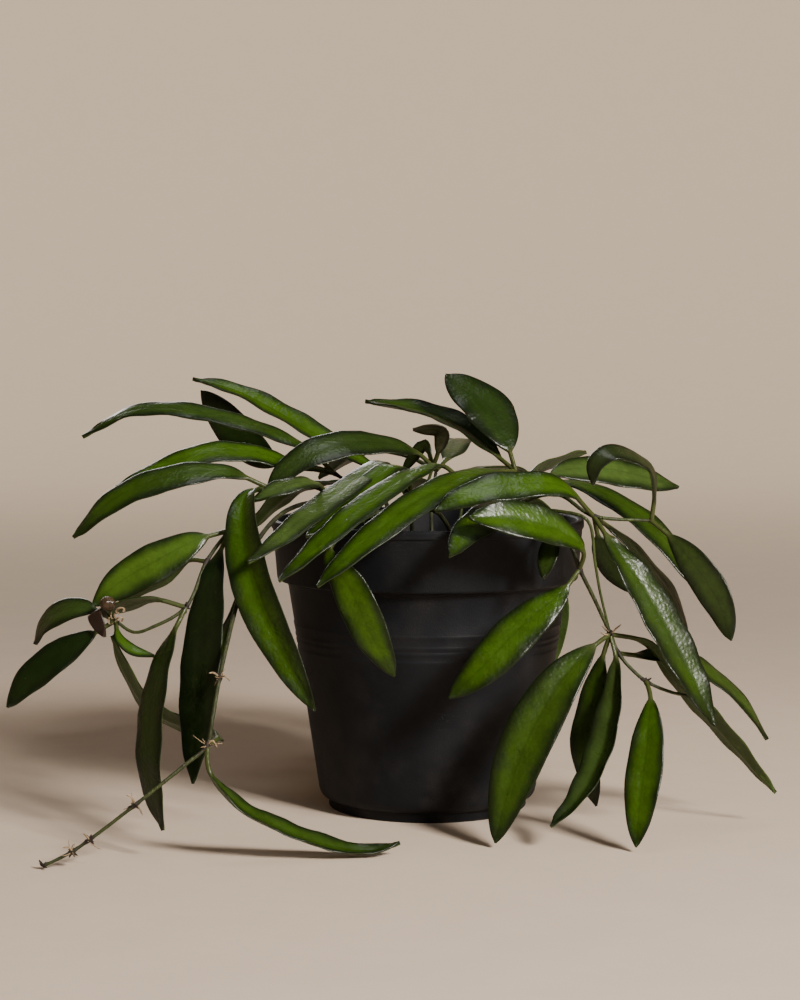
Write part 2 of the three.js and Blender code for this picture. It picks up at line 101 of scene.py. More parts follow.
class Slot(Enum):
    """The record's material slots."""

    POT = "pot_plastic"
    SOIL = "potting_soil"
    FOLIAGE = "foliage"


class Tone(Enum):
    """Kinds of leaf colour: how light, how bronze and how grey a leaf is, each from 0 to 1.

    The light share is partly the leaf's own tone and partly painted light and shade: higher on leaves
    that face the light, lower on leaves in shadow. The grey share is a painted sheen.
    """

    # The light share below also paints light and shade on single leaves; the grey share paints a sheen, most
    # in PALE and HAZY
    BRIGHT = (0.97, 0.0, 0.24)
    FRESH = (0.78, 0.0, 0.04)
    GREEN = (0.6, 0.0, 0.02)
    MID = (0.46, 0.02, 0.1)
    DEEP = (0.28, 0.03, 0.1)
    SHADY = (0.16, 0.0, 0.05)
    DARK = (0.06, 0.0, 0.04)
    OLIVE = (0.34, 0.03, 0.18)
    PALE = (0.85, 0.0, 0.4)
    HAZY = (0.6, 0.0, 1.0)
    SMOKY = (0.16, 0.08, 0.2)
    PURPLE = (0.08, 0.95, 0.2)
    SMOKED = (0.2, 0.55, 0.7)


@dataclass(frozen=True)
class LeafRow:
    """One leaf: where it grows from, how its midrib bends, how wide it is and which way it faces."""

    at: int
    through: Sequence[Point]
    width: float
    face: Point
    tone: Tone
    fold: float = 5.0
    petiole: float = 8.0
    on: int = 0


@dataclass(frozen=True)
class ShootRow:
    """A side shoot or an aerial root: which stem point it leaves and the points it runs through."""

    at: int
    through: Sequence[Point]
    radius: float = 0.9
    on: int = 0


@dataclass(frozen=True)
class Bud:
    """A round bud at the end of a flower spur."""

    place: Point
    radius: float


@dataclass(frozen=True)
class Vine:
    """One leafy stem with its shoots, roots, buds and leaves, in millimetres."""

    name: str
    stem: Sequence[Point]
    leaves: Sequence[LeafRow]
    shoots: Sequence[ShootRow] = ()
    buds: Sequence[Bud] = ()
    end_brown: float = 0.25
    whiskers: int = 0
    longest_whisker: float = 3.4
    clumps: Sequence[int] = ()


ROOT_RADIUS = 0.45
FOOT_HEIGHT = 107
FIRST_SEED = 101


def leaf(at: int, through: Sequence[Point], width: float, face: Point, tone: Tone, **more: float) -> LeafRow:
    """One row of a vine's leaves, with its fold, petiole or stem given only where it is unusual."""
    return LeafRow(at, through, width, face, tone, **more)


def shoot(at: int, through: Sequence[Point], radius: float = 0.9, on: int = 0) -> ShootRow:
    """One side shoot of a vine."""
    return ShootRow(at, through, radius, on)


def root(at: int, through: Sequence[Point], on: int = 0) -> ShootRow:
    """One short aerial root of a vine."""
    return ShootRow(at, through, ROOT_RADIUS, on)


def seen(column: float, row: float, y: float) -> Point:
    """Work out the place, in whole millimetres, of a pixel of the photograph at a chosen y.

    Args:
        column: Pixels from the left of the photograph.
        row: Pixels from its top.
        y: How far behind the pot's axis the place lies, less than 0 in front of it.

    Returns:
        The place in millimetres.
    """
    pitch = math.radians(CAMERA.pitch)
    away = CAMERA.distance + y
    drop = away * math.tan(math.atan((row - CAMERA.image_height / 2) / CAMERA.focal_pixels) + pitch)
    depth = away * math.cos(pitch) + drop * math.sin(pitch)
    x = CAMERA.x + (column - CAMERA.image_width / 2) * depth / CAMERA.focal_pixels
    return (round(x), y, round(CAMERA.height - drop))


def foot(x: float, y: float) -> Point:
    """Where a stem comes clear of the soil."""
    return (x, y, FOOT_HEIGHT)


VINES: list[Vine] = [
    # Arches over the rim at the front left and ends in the flower spur
    Vine(
        "vine_left", clumps=[7], buds=[Bud((-118, -80, 90), 3.0)],
        stem=[foot(-22, -16), (-30, -22, 121), (-40, -30, 128), (-50, -36, 131), seen(268, 487, -42),
            seen(228, 530, -58), seen(207, 562, -64), (-90, -74, 88), seen(153, 627, -77),
            seen(133, 631, -76), seen(116, 622, -74)],
        shoots=[shoot(10, [(-117, -77, 86), (-118, -79, 89)], 0.8)],
        leaves=[
            leaf(2, [(-44, -42, 132), (-54, -50, 131), (-66, -56, 126)], 11, (0, -4, 8), Tone.PALE),
            leaf(4, [(-76, -44, 136), (-94, -47, 135), (-117, -50, 127), seen(73, 537, -54)], 16,
                (0, -5, 8), Tone.MID),
            leaf(4, [seen(248, 496, -52), (-69, -65, 116), (-64, -78, 95), (-52, -86, 70),
                (-42, -90, 52)], 18, (-3, -9, 1), Tone.GREEN, fold=26, petiole=3),
            leaf(5, [seen(200, 540, -62), seen(160, 560, -66), seen(122, 582, -68), seen(91, 606, -70)],
                16, (1, -8, 5), Tone.BRIGHT),
            leaf(5, [seen(214, 570, -68), seen(204, 640, -80), seen(196, 710, -88), seen(193, 785, -94)],
                17, (-4, -8, 0), Tone.DARK, fold=8),
            leaf(6, [seen(190, 560, -60), seen(155, 580, -56), seen(118, 602, -54)], 12, (0, 4, 8),
                Tone.DEEP),
            leaf(7, [seen(164, 655, -84), seen(151, 710, -92), seen(150, 775, -99), seen(162, 830, -104)],
                15, (-7, -7, 0), Tone.DEEP),
            leaf(7, [seen(153, 600, -74), seen(128, 606, -70), (-122, -66, 84)], 12, (0, 3, 9),
                Tone.DARK),
            leaf(10, [seen(92, 610, -72), seen(62, 612, -68), seen(42, 626, -66), seen(34, 645, -65)], 13,
                (-2, -6, 7), Tone.OLIVE),
            leaf(10, [(-123, -76, 79), (-136, -78, 71), seen(30, 680, -80), (-155, -82, 52)], 13,
                (-4, -9, 3), Tone.DARK),
            leaf(10, [(-123, -78, 87), (-119, -82, 78)], 7, (-5, -8, -1), Tone.PURPLE, petiole=3),
            leaf(10, [seen(118, 638, -79), (-109, -81, 73), (-101, -82, 71)], 5, (3, -6, 6), Tone.FRESH,
                petiole=3),
        ],
    ),
    # Hangs in front of the pot on the left and trails forwards to lie on the surface
    Vine(
        "vine_trailing", end_brown=0.35, whiskers=7, longest_whisker=5.6, clumps=[10, 11, 12, 13],
        stem=[foot(-30, -4), (-40, -14, 121), (-54, -34, 121), (-65, -55, 110), (-70, -70, 94),
            (-76, -96, 65), (-78, -103, 52), (-80, -105, 42), (-87, -108, 36), (-96, -111, 29),
            (-105, -113, 22), (-121, -115, 10), (-127, -116, 6), (-137, -118, 1.2)],
        shoots=[
            root(5, [(-74, -98, 66), (-72, -98, 64)]),
            root(5, [(-78, -97, 67), (-80, -98, 67)]),
            root(7, [(-78, -106, 44), (-76, -106, 41)]),
            root(10, [(-106, -114, 25), (-108, -115, 26)]),
            root(10, [(-103, -115, 21), (-102, -116, 19)]),
            root(11, [(-122, -117, 12), (-123, -118, 13)]),
            root(12, [(-128, -118, 8), (-130, -119, 8)]),
        ],
        leaves=[
            leaf(4, [(-76, -71, 78), (-80, -73, 60), (-82, -75, 42)], 9, (9, -4, 0), Tone.DEEP),
            leaf(7, [(-77, -98, 43), (-78, -87, 43), (-87, -81, 44), (-103, -77, 51), (-112, -75, 64),
                (-117, -76, 78)], 12, (5, 5, 5), Tone.DEEP),
            leaf(7, [(-79, -107, 33), (-69, -106, 20), (-56, -104, 12), (-37, -100, 4), (-22, -98, 1.8),
                (-11, -97, 5)], 12, (1, -3, 9), Tone.MID, fold=26),
        ],
    ),
    # Rises on the left and carries the topmost leaves there
    Vine(
        "vine_upper_left",
        stem=[foot(-20, 6), (-26, 4, 122), (-37, -3, 133), (-52, 2, 137)],
        leaves=[
            leaf(2, [(-47, -3, 142), seen(250, 425, 0), (-99, 4, 158), (-119, 6, 157), (-138, 6, 147)],
                12, (0, -4, 8), Tone.MID),
            leaf(2, [(-53, -12, 137), (-70, -16, 142), (-86, -20, 142), (-107, -24, 135),
                (-121, -26, 129)], 14, (0, -5, 8), Tone.FRESH),
            leaf(3, [(-64, 10, 138), (-76, 18, 147), (-84, 22, 156), seen(202, 391, 26)], 15, (-3, -9, 2),
                Tone.DARK),
        ],
    ),
    # Rises in the middle and lays its leaves over the front left of the rim
    Vine(
        "vine_centre",
        stem=[foot(-6, -2), (-6, -4, 120), (0, -7, 130), (2, -8, 136)],
        leaves=[
            leaf(1, [(-12, 3, 129), (-20, 6, 133), (-36, 10, 142), (-55, 14, 153), (-76, 18, 164),
                seen(192, 379, 20)], 14, (3, -5, 8), Tone.FRESH, fold=24, petiole=18),
            leaf(1, [(-12, -9, 133), (-18, -15, 138), seen(355, 482, -34), seen(310, 515, -60),
                (-57, -76, 112), (-66, -88, 106)], 15, (-3, -6, 7), Tone.PALE, petiole=16),
            leaf(1, [(-8, -12, 132), (-14, -25, 137), (-30, -45, 125), (-46, -62, 113)], 13, (-3, -6, 7),
                Tone.FRESH, petiole=16),
            leaf(3, [seen(415, 453, -12), seen(362, 442, -20), seen(325, 449, -26), seen(296, 462, -30),
                seen(266, 488, -36)], 17, (-2, -6, 7), Tone.DEEP),
            leaf(3, [(4, -11, 142), (5, -14, 150), (-6, -16, 151)], 7, (-2, -8, 5), Tone.SMOKED,
                petiole=6),
            leaf(3, [seen(424, 445, -2), seen(413, 458, 2), seen(402, 472, 4)], 6, (-4, -8, 3),
                Tone.OLIVE, petiole=5),
        ],
    ),
    # Crosses the front of the rim low down
    Vine(
        "vine_front",
        stem=[foot(10, -22), (4, -28, 119), (-8, -40, 122), (-20, -52, 121), (-32, -62, 115)],
        shoots=[shoot(0, [(13, -20, 120), (13, -19, 131)])],
        leaves=[
            leaf(4, [(-37, -66, 108), (-29, -71, 94), (-21, -73, 77), (-13, -72, 62)], 15, (-2, -9, -1),
                Tone.FRESH),
            leaf(2, [(6, -22, 137), (-6, -37, 135), seen(370, 502, -56), seen(325, 540, -74),
                seen(279, 580, -86)], 15, (-4, -6, 6), Tone.FRESH, on=1),
        ],
    ),
    # Stands highest and carries the upright leaves right of the middle
    Vine(
        "vine_crown",
        stem=[foot(30, -6), (33, -14, 124), seen(515, 470, -20)],
        leaves=[
            leaf(2, [seen(470, 475, -40), seen(430, 496, -56), seen(385, 527, -70), seen(345, 560, -80),
                seen(318, 587, -86)], 17, (-4, -6, 6), Tone.FRESH),
            leaf(2, [seen(508, 445, -16), seen(488, 408, -8), seen(445, 374, 0)], 21, (4, -8, 2),
                Tone.SHADY),
            leaf(2, [(24, -12, 143), (13, -2, 151), (-3, 8, 157), seen(365, 401, 16)], 17, (3, -4, 8),
                Tone.MID, fold=20),
            leaf(1, [(26, -44, 122), (20, -60, 119), (13, -74, 115), (7, -86, 108)], 15, (1, -6, 8),
                Tone.FRESH),
        ],
    ),
    # Crosses the rim at the front right and carries the broad leaves there
    Vine(
        "vine_right_upper",
        stem=[foot(22, -16), (34, -26, 122), (49, -36, 127), seen(593, 515, -52), seen(652, 522, -50)],
        leaves=[
            leaf(3, [seen(562, 488, -58), seen(510, 487, -62), (15, -65, 129), (2, -68, 123)], 15,
                (0, -6, 7), Tone.FRESH),
            leaf(3, [seen(607, 538, -57), seen(640, 588, -62), seen(682, 660, -66), seen(716, 727, -70)],
                18, (5, -8, 4), Tone.MID, fold=16),
            leaf(3, [seen(615, 532, -44), seen(650, 566, -44), seen(676, 604, -46), seen(686, 640, -48)],
                15, (6, -3, 7), Tone.DARK),
            leaf(3, [(65, -48, 109), (71, -46, 100), (78, -44, 90)], 12, (-6, -6, 5), Tone.DEEP),
            leaf(4, [seen(654, 490, -51), (83, -51, 138), (75, -53, 143), (67, -57, 144), (62, -59, 140),
                (61, -60, 132)], 11, (0, -4, 9), Tone.SMOKY, petiole=6),
            leaf(4, [(92, -54, 111), (102, -58, 99), (109, -60, 87), (113, -62, 74)], 13, (-2, -9, -2),
                Tone.OLIVE),
        ],
    ),
    # Hangs at the right and carries the leaves that reach down to the surface
    Vine(
        "vine_right_hanging", whiskers=5, longest_whisker=4.2, clumps=[6, 9, 11],
        stem=[foot(26, -28), (36, -42, 121), (46, -54, 118), (53, -61, 109), (56, -63, 101),
            (62, -60, 89), seen(609, 634, -58), (71, -60, 69), (75, -62, 64), seen(645, 682, -64),
            seen(669, 692, -64), seen(690, 697, -62)],
        shoots=[
            shoot(1, [(49, -55, 122), (59, -60, 119), (62, -60, 103), (64, -59, 92),
                seen(609, 634, -58)]),
            root(6, [(66, -60, 76), (64, -61, 77)]),
            root(6, [(70, -59, 78), (72, -60, 80)]),
            root(11, [(100, -63, 54), (102, -64, 54)]),
            root(11, [(99, -63, 51), (100, -64, 49)]),
        ],
        leaves=[
            leaf(4, [(57, -67, 108), (47, -71, 116), (30, -78, 121), (14, -84, 122)], 16, (3, -8, 5),
                Tone.FRESH, fold=12),
            leaf(4, [(49, -69, 93), (33, -75, 80), (20, -79, 67), (7, -80, 55)], 16, (-2, -9, 3),
                Tone.GREEN),
            leaf(2, [(45, -64, 110), (42, -69, 98)], 8, (-3, -9, -1), Tone.DEEP, petiole=5),
            leaf(6, [seen(590, 650, -64), (47, -71, 57), (35, -77, 36), (28, -81, 17), (24, -84, 2)], 20,
                (-4, -9, -1), Tone.MID, fold=12),
            leaf(6, [(70, -62, 66), (69, -66, 52), (64, -74, 33), (55, -82, 18), (44, -88, 9)], 14,
                (-6, -7, 1), Tone.OLIVE, fold=30),
            leaf(6, [(65, -57, 66), (62, -58, 51), (59, -59, 32), seen(596, 806, -60)], 13, (-5, -8, 0),
                Tone.MID),
            leaf(6, [(82, -54, 72), (97, -50, 54), (115, -46, 34), (133, -44, 13)], 11, (5, 6, 6),
                Tone.OLIVE),
            leaf(7, [seen(640, 655, -52), (96, -45, 66), (109, -42, 58), (121, -41, 47), (130, -41, 33)],
                12, (3, -4, 8), Tone.MID),
            leaf(9, [seen(651, 698, -70), (80, -79, 36), (77, -86, 18), (75, -91, 2)], 14, (-3, -9, -2),
                Tone.GREEN, fold=12),
        ],
    ),
    # Rises at the right behind the crown
    Vine(
        "vine_far_right",
        stem=[foot(34, 8), (36, 2, 121), (42, -4, 128)],
        leaves=[
            leaf(1, [(40, 10, 131), seen(555, 462, 18), seen(587, 452, 26)], 13, (0, 5, 8), Tone.OLIVE),
            leaf(2, [seen(555, 474, 0), (69, 8, 134), (88, 14, 130), seen(679, 488, 18)], 16, (0, -7, 7),
                Tone.PALE),
            leaf(2, [(56, -14, 130), (68, -22, 126), (84, -30, 116), seen(690, 570, -36),
                seen(724, 618, -40)], 15, (4, -5, 7), Tone.MID),
        ],
    ),
    # Stands upright behind the middle
    Vine(
        "vine_back_middle",
        stem=[foot(2, 28), (2, 32, 122), (4, 34, 132)],
        leaves=[
            leaf(2, [(10, 46, 138), (12, 68, 143), (12, 94, 136)], 16, (0, -2, 9), Tone.HAZY),
            leaf(2, [(-10, 44, 138), (-28, 60, 138), (-46, 78, 126)], 15, (0, 1, 9), Tone.FRESH),
            leaf(1, [(16, 48, 130), (34, 64, 131), (52, 80, 120)], 15, (0, 1, 9), Tone.GREEN),
        ],
    ),
    # Hang down behind the pot
    Vine(
        "vine_back_left",
        stem=[foot(-14, 22), (-18, 38, 122), (-22, 58, 123), (-26, 74, 106), (-28, 82, 84),
            (-27, 86, 62)],
        leaves=[
            leaf(1, [(-34, 46, 126), (-56, 58, 122), (-76, 72, 104)], 16, (-2, 3, 9), Tone.GREEN),
            leaf(2, [(-36, 72, 120), (-48, 92, 106), (-54, 106, 82)], 17, (-3, 6, 7), Tone.FRESH),
            leaf(2, [(-10, 72, 126), (0, 92, 116), (4, 106, 96)], 17, (1, 6, 7), Tone.MID),
            leaf(3, [(-38, 88, 92), (-44, 96, 70), (-43, 98, 46)], 16, (-3, 9, 2), Tone.DEEP),
            leaf(3, [(-14, 90, 92), (-7, 98, 72), (-6, 100, 48)], 15, (3, 9, 2), Tone.GREEN),
            leaf(4, [(-36, 92, 66), (-40, 98, 44), (-38, 99, 22)], 15, (-2, 9, 1), Tone.MID),
            leaf(5, [(-22, 92, 44), (-18, 96, 26), (-15, 97, 9)], 14, (2, 9, 1), Tone.OLIVE),
        ],
    ),
    Vine(
        "vine_back_right",
        stem=[foot(16, 20), (22, 36, 121), (30, 55, 121), (36, 68, 106), (38, 76, 86), (36, 80, 64)],
        leaves=[
            leaf(2, [(44, 70, 116), (56, 84, 98), (60, 92, 74)], 17, (4, 7, 5), Tone.GREEN),
            leaf(2, [(24, 76, 118), (22, 94, 100), (22, 103, 76)], 16, (0, 7, 6), Tone.MID),
            leaf(3, [(50, 80, 92), (56, 86, 68), (56, 88, 44)], 15, (4, 9, 2), Tone.DEEP),
            leaf(3, [(28, 86, 88), (22, 94, 66), (20, 96, 42)], 15, (-2, 9, 2), Tone.FRESH),
            leaf(4, [(44, 86, 66), (44, 90, 44), (42, 91, 22)], 15, (2, 9, 1), Tone.GREEN),
            leaf(5, [(30, 88, 46), (26, 92, 28), (24, 93, 10)], 14, (-1, 9, 1), Tone.DEEP),
        ],
    ),
]


class Spline:
    """A centripetal curve through points, measured along its own length."""

    SPAN_STEPS = 20
    TANGENT_STEP = 0.006

    def __init__(self, points: Sequence[Point]) -> None:
        """Lay the curve through the points.

        Args:
            points: At least two points in millimetres.
        """
        knots = [Vector(p) for p in points]
        knots = [knots[0] * 2 - knots[1], *knots, knots[-1] * 2 - knots[-2]]
        self.samples: list[Vector] = [knots[1].copy()]
        for i in range(1, len(knots) - 2):
            for step in range(1, self.SPAN_STEPS + 1):
                self.samples.append(self._on_span(knots[i - 1:i + 3], step / self.SPAN_STEPS))
        self.reach: list[float] = [0.0]
        for a, b in zip(self.samples, self.samples[1:]):
            self.reach.append(self.reach[-1] + (b - a).length)
        self.length = self.reach[-1]

    @staticmethod
    def _on_span(knots: Sequence[Vector], t: float) -> Vector:
        """A point between the second and the third of four knots.

        Args:
            knots: The four knots around the span.
            t: How far along the span, from 0 to 1.

        Returns:
            The point on the curve.
        """
        a, b, c, d = knots
        before, here, after = (max((q - p).length, 1e-4) ** 0.5 for p, q in ((a, b), (b, c), (c, d)))
        start = ((b - a) / before - (c - a) / (before + here) + (c - b) / here) * here
        end = ((c - b) / here - (d - b) / (here + after) + (d - c) / after) * here
        return b + start * t + ((c - b) * 3 - start * 2 - end) * t ** 2 + ((b - c) * 2 + start + end) * t ** 3

    def at(self, share: float) -> Vector:
        """The point at a share of the curve's length."""
        goal = min(max(share, 0.0), 1.0) * self.length
        low, high = 0, len(self.reach) - 1
        while high - low > 1:
            middle = (low + high) // 2
            if self.reach[middle] <= goal:
                low = middle
            else:
                high = middle
        gap = self.reach[high] - self.reach[low]
        return self.samples[low].lerp(self.samples[high], (goal - self.reach[low]) / gap if gap else 0.0)

    def tangent(self, share: float) -> Vector:
        """The direction at a share of the curve's length."""
        step = self.TANGENT_STEP
        return (self.at(share + step) - self.at(share - step)).normalized()


class Ribbon:
    """A spline with an upward direction carried along it without turning about the path."""

    STEPS = 40

    def __init__(self, spline: Spline, face: Sequence[float]) -> None:
        """Carry the face from the middle of the path to both its ends.

        Args:
            spline: The path.
            face: The direction that the upper side faces at the middle.
        """
        self.spline = spline
        tangents = [spline.tangent(i / self.STEPS) for i in range(self.STEPS + 1)]
        middle = self.STEPS // 2
        self.ups: list[Vector] = [Vector()] * (self.STEPS + 1)
        self.ups[middle] = self._upright(Vector(face), tangents[middle])
        for i in range(middle + 1, self.STEPS + 1):
            self.ups[i] = self._upright(self.ups[i - 1], tangents[i])
        for i in range(middle - 1, -1, -1):
            self.ups[i] = self._upright(self.ups[i + 1], tangents[i])

    @staticmethod
    def _upright(up: Vector, tangent: Vector) -> Vector:
        """The direction nearest to up that is square to the tangent."""
        return (up - tangent * up.dot(tangent)).normalized()

    def frame(self, share: float) -> tuple[Vector, Vector, Vector]:
        """The place, the sideways direction and the upward direction at a share of the length."""
        place = min(max(share, 0.0), 1.0) * self.STEPS
        low = min(int(place), self.STEPS - 1)
        tangent = self.spline.tangent(share)
        up = self._upright(self.ups[low].lerp(self.ups[low + 1], place - low), tangent)
        return self.spline.at(share), tangent.cross(up), up


def smooth(low: float, high: float, value: float) -> float:
    """A smooth step from 0 at low to 1 at high."""
    t = min(max((value - low) / (high - low), 0.0), 1.0)
    return t * t * (3 - 2 * t)


def add_object(name: str, bm: bmesh.types.BMesh) -> bpy.types.Object:
    """Turn a finished bmesh in metres into an object of the scene.

    Args:
        name: The object's name.
        bm: The mesh, which is freed.

    Returns:
        The new object.
    """
    mesh = bpy.data.meshes.new(name)
    bm.to_mesh(mesh)
    bm.free()
    made = bpy.data.objects.new(name, mesh)
    bpy.context.scene.collection.objects.link(made)
    return made


def dress(made: bpy.types.Object, material: bpy.types.Material) -> None:
    """Shade an object smoothly and give it its finish."""
    for polygon in made.data.polygons:
        polygon.use_smooth = True
    made.data.materials.append(material)


def finish_piece(name: str, bm: bmesh.types.BMesh, material: bpy.types.Material,
                 nodes: Sequence[str] = (), sharp: float = 40.0) -> bpy.types.Object:
    """Turn a finished bmesh in metres into a piece that rides on the plant.

    Args:
        name: The piece's name.
        bm: The mesh, which is freed.
        material: The finish of the whole piece.
        nodes: The CAD nodes that the piece stands for.
        sharp: The angle in degrees past which an edge stays sharp.

    Returns:
        The new object.
    """
    piece = add_object(name, bm)
    dress(piece, material)
    piece.data.set_sharp_from_angle(angle=math.radians(sharp))
    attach(piece, BODY)
    if nodes:
        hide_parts(*nodes)
    LOG.info("%s: %d faces", name, len(piece.data.polygons))
    return piece


def turned(line: Sequence[Spot], turns: int, unit: float = MM) -> bmesh.types.BMesh:
    """Turn an outline about the upright axis.

    Args:
        line: Pairs of radius and height.
        turns: The number of steps all round.
        unit: The length in metres that the outline counts in.

    Returns:
        The turned skin.
    """
    bm = bmesh.new()
    verts = [bm.verts.new((radius * unit, 0.0, height * unit)) for radius, height in line]
    edges = [bm.edges.new(pair) for pair in zip(verts, verts[1:])]
    bmesh.ops.spin(bm, geom=[*verts, *edges], cent=(0, 0, 0), axis=(0, 0, 1), angle=2 * math.pi,
                   steps=turns, use_merge=True, dvec=(0, 0, 0))
    bmesh.ops.remove_doubles(bm, verts=bm.verts[:], dist=SAME * unit)
    return bm


@dataclass(frozen=True)
class Growth:
    """How one leaf grew: its path, where its blade starts and the small chances that make it differ."""

    row: LeafRow
    ribbon: Ribbon
    start: float
    phase: float
    waves: float
    wave: float
    lean: float

    def blade(self, along: float) -> float:
        """How far along the blade a place along the leaf lies, 0 on the petiole."""
        return max(0.0, (along - self.start) / (1 - self.start))


class LeafMaker:
    """Makes one leaf: a round petiole that opens into a waxy lance-shaped blade with a sunk midrib."""

    # Faces across the blade and along the leaf
    ACROSS = 16
    ALONG = 46

    # Half thicknesses of the blade and the petiole's radius, in millimetres
    MIDDLE = 0.75
    MARGIN = 0.33
    PETIOLE = 0.9

    # How full the outline is, where margin and tip begin to round off and over what share
    POWER = 0.72
    ROUND_FROM = 0.93
    ROUND_OVER = 0.07

    # Where across the blade the thin rim begins, which the finish paints lighter as a painted highlight and
    # makes duller
    RIM_FROM = 0.985

    # The greatest share of the leaf that its petiole takes, and how far the margins curl down
    MOST_PETIOLE = 0.35
    CURL = 0.07

    # Ranges of the margin's wave length and height, and the width from which waves are full
    WAVE_LENGTHS = (17, 24)
    WAVE_HEIGHTS = (0.25, 0.5)
    FULL_WIDTH = 14

    # The greatest lean of a blade to one side, and the greatest change of its tone
    MOST_LEAN = 0.05
    MOST_SHADE = 0.05

    # The sunk midrib: its half width and its depth above and below, in millimetres
    RIB_WIDTH = 0.6
    RIB_ABOVE = 0.12
    RIB_BELOW = 0.26

    def __init__(self, bm: bmesh.types.BMesh, seed: int) -> None:
        """Prepare to add leaves to a mesh.

        Args:
            bm: The mesh that the leaves join.
            seed: Starts the small chances that make leaves differ.
        """
        self.bm = bm
        self.chance = random.Random(seed)
        self.uv = bm.loops.layers.uv.verify()
        self.tint = bm.verts.layers.float_color.new("leaf_tint")
        self.zone = bm.verts.layers.float_color.new("leaf_zone")

    def add(self, origin: Point, row: LeafRow) -> None:
        """Add one leaf.

        Args:
            origin: The stem point that it grows from.
            row: The leaf's row in its vine.
        """
        growth = self._grow(origin, row)
        # The tone goes into leaf_tint: its light share is partly painted light and shade, its grey share a
        # painted sheen
        light, bronze, grey = row.tone.value
        light = min(1.0, max(0.0, light + self.chance.uniform(-self.MOST_SHADE, self.MOST_SHADE)))
        spots, under = self._skins()
        for vert, (u, s) in spots.items():
            below = vert in under
            vert.co = self._point(growth, u, s, below) * MM
            vert[self.tint] = (light, bronze, grey, 1.0)
            stalk = 1 - smooth(0.0, 0.09, (s - growth.start * 0.9) / (1 - growth.start))
            rim = 1.0 if abs(u) > self.RIM_FROM else 0.0
            vert[self.zone] = (1.0 if below else 0.0, stalk, rim, 1.0)
        shell = list({face for vert in spots for face in vert.link_faces})
        for face in shell:
            for loop in face.loops:
                u, s = spots[loop.vert]
                loop[self.uv].uv = (u * 0.5 + 0.5, growth.blade(s))
        bmesh.ops.recalc_face_normals(self.bm, faces=shell)

    def _grow(self, origin: Point, row: LeafRow) -> Growth:
        """Lay a leaf's path and draw its chances."""
        spline = Spline([origin, *row.through])
        return Growth(
            row=row,
            ribbon=Ribbon(spline, row.face),
            start=min(self.MOST_PETIOLE, row.petiole / spline.length),
            phase=self.chance.uniform(0, 2 * math.pi),
            waves=spline.length / self.chance.uniform(*self.WAVE_LENGTHS),
            wave=self.chance.uniform(*self.WAVE_HEIGHTS) * min(1.0, row.width / self.FULL_WIDTH),
            lean=self.chance.uniform(-self.MOST_LEAN, self.MOST_LEAN),
        )

    def _skins(self) -> tuple[dict[bmesh.types.BMVert, Spot], set[bmesh.types.BMVert]]:
        """Add the closed flat grid of one leaf, finer towards its margins and its ends.

        Returns:
            Each vertex with its place across, from -1 to 1, and along, from 0 to 1, and the lower vertices.
        """
        grid = bmesh.ops.create_grid(self.bm, x_segments=self.ACROSS, y_segments=self.ALONG, size=0.5)
        made = grid["verts"]
        faces = list({face for vert in made for face in vert.link_faces})
        copy = bmesh.ops.extrude_face_region(self.bm, geom=faces, use_keep_orig=True)["geom"]
        upper = [item for item in copy if isinstance(item, bmesh.types.BMVert)]
        spots: dict[bmesh.types.BMVert, Spot] = {}
        for vert in [*made, *upper]:
            s = vert.co.y + 0.5
            s = s ** 1.15 if s < 0.5 else s
            s = s * (1 - 0.12 * math.sin(2 * math.pi * s))
            spots[vert] = (math.sin(math.pi * vert.co.x), s)
        return spots, set(made)

    def _point(self, growth: Growth, u: float, s: float, below: bool) -> Vector:
        """The point of a leaf's skin at a place across and along it.

        Args:
            growth: The leaf.
            u: The place across, from -1 to 1.
            s: The place along, from 0 to 1.
            below: Whether it is on the lower skin.

        Returns:
            The point in millimetres.
        """
        row = growth.row
        blade = growth.blade(s)
        place, sideways, up = growth.ribbon.frame(s)
        outline = (4 * blade * (1 - blade)) ** self.POWER if 0 < blade < 1 else 0.0
        shape = row.width / 2 * outline * (1 + growth.lean * math.copysign(1.0, u))
        tip = 1 - 0.6 * smooth(self.ROUND_FROM, 1.0, blade)
        open_out = smooth(-0.02, 0.1, (s - growth.start) / (1 - growth.start))
        half = max(shape, self.PETIOLE * (1 - 0.6 * smooth(0.9, 1.0, blade)))
        spread = smooth(1.0, 2.6, half / self.PETIOLE) if half > self.PETIOLE else 0.0
        past = max(0.0, (abs(u) - self.ROUND_FROM) / self.ROUND_OVER)
        edge = max(0.0, 1 - past ** 2) ** 0.5
        flat = (self.MARGIN + (self.MIDDLE - self.MARGIN) * (1 - abs(u)) ** 1.3) * edge * tip
        round_off = self.PETIOLE * (1 - u * u) ** 0.5
        thick = round_off + (flat - round_off) * spread
        fold = math.radians(row.fold)
        lift = half * spread * (math.sin(fold) * abs(u) ** 1.1 - self.CURL * abs(u) ** 3)
        turn = 2 * math.pi * growth.waves * blade + growth.phase + u
        ripple = growth.wave * spread * u * u * math.sin(turn)
        bulge = 0.12 * spread * noise.noise(place * 0.22 + sideways * (u * half * 0.3))
        rib = math.exp(-(u * half / self.RIB_WIDTH) ** 2) * spread * open_out
        height = (-thick if below else thick) + lift + ripple + bulge
        height -= rib * (self.RIB_BELOW if below else self.RIB_ABOVE)
        return place + sideways * (u * half * math.cos(fold)) + up * height


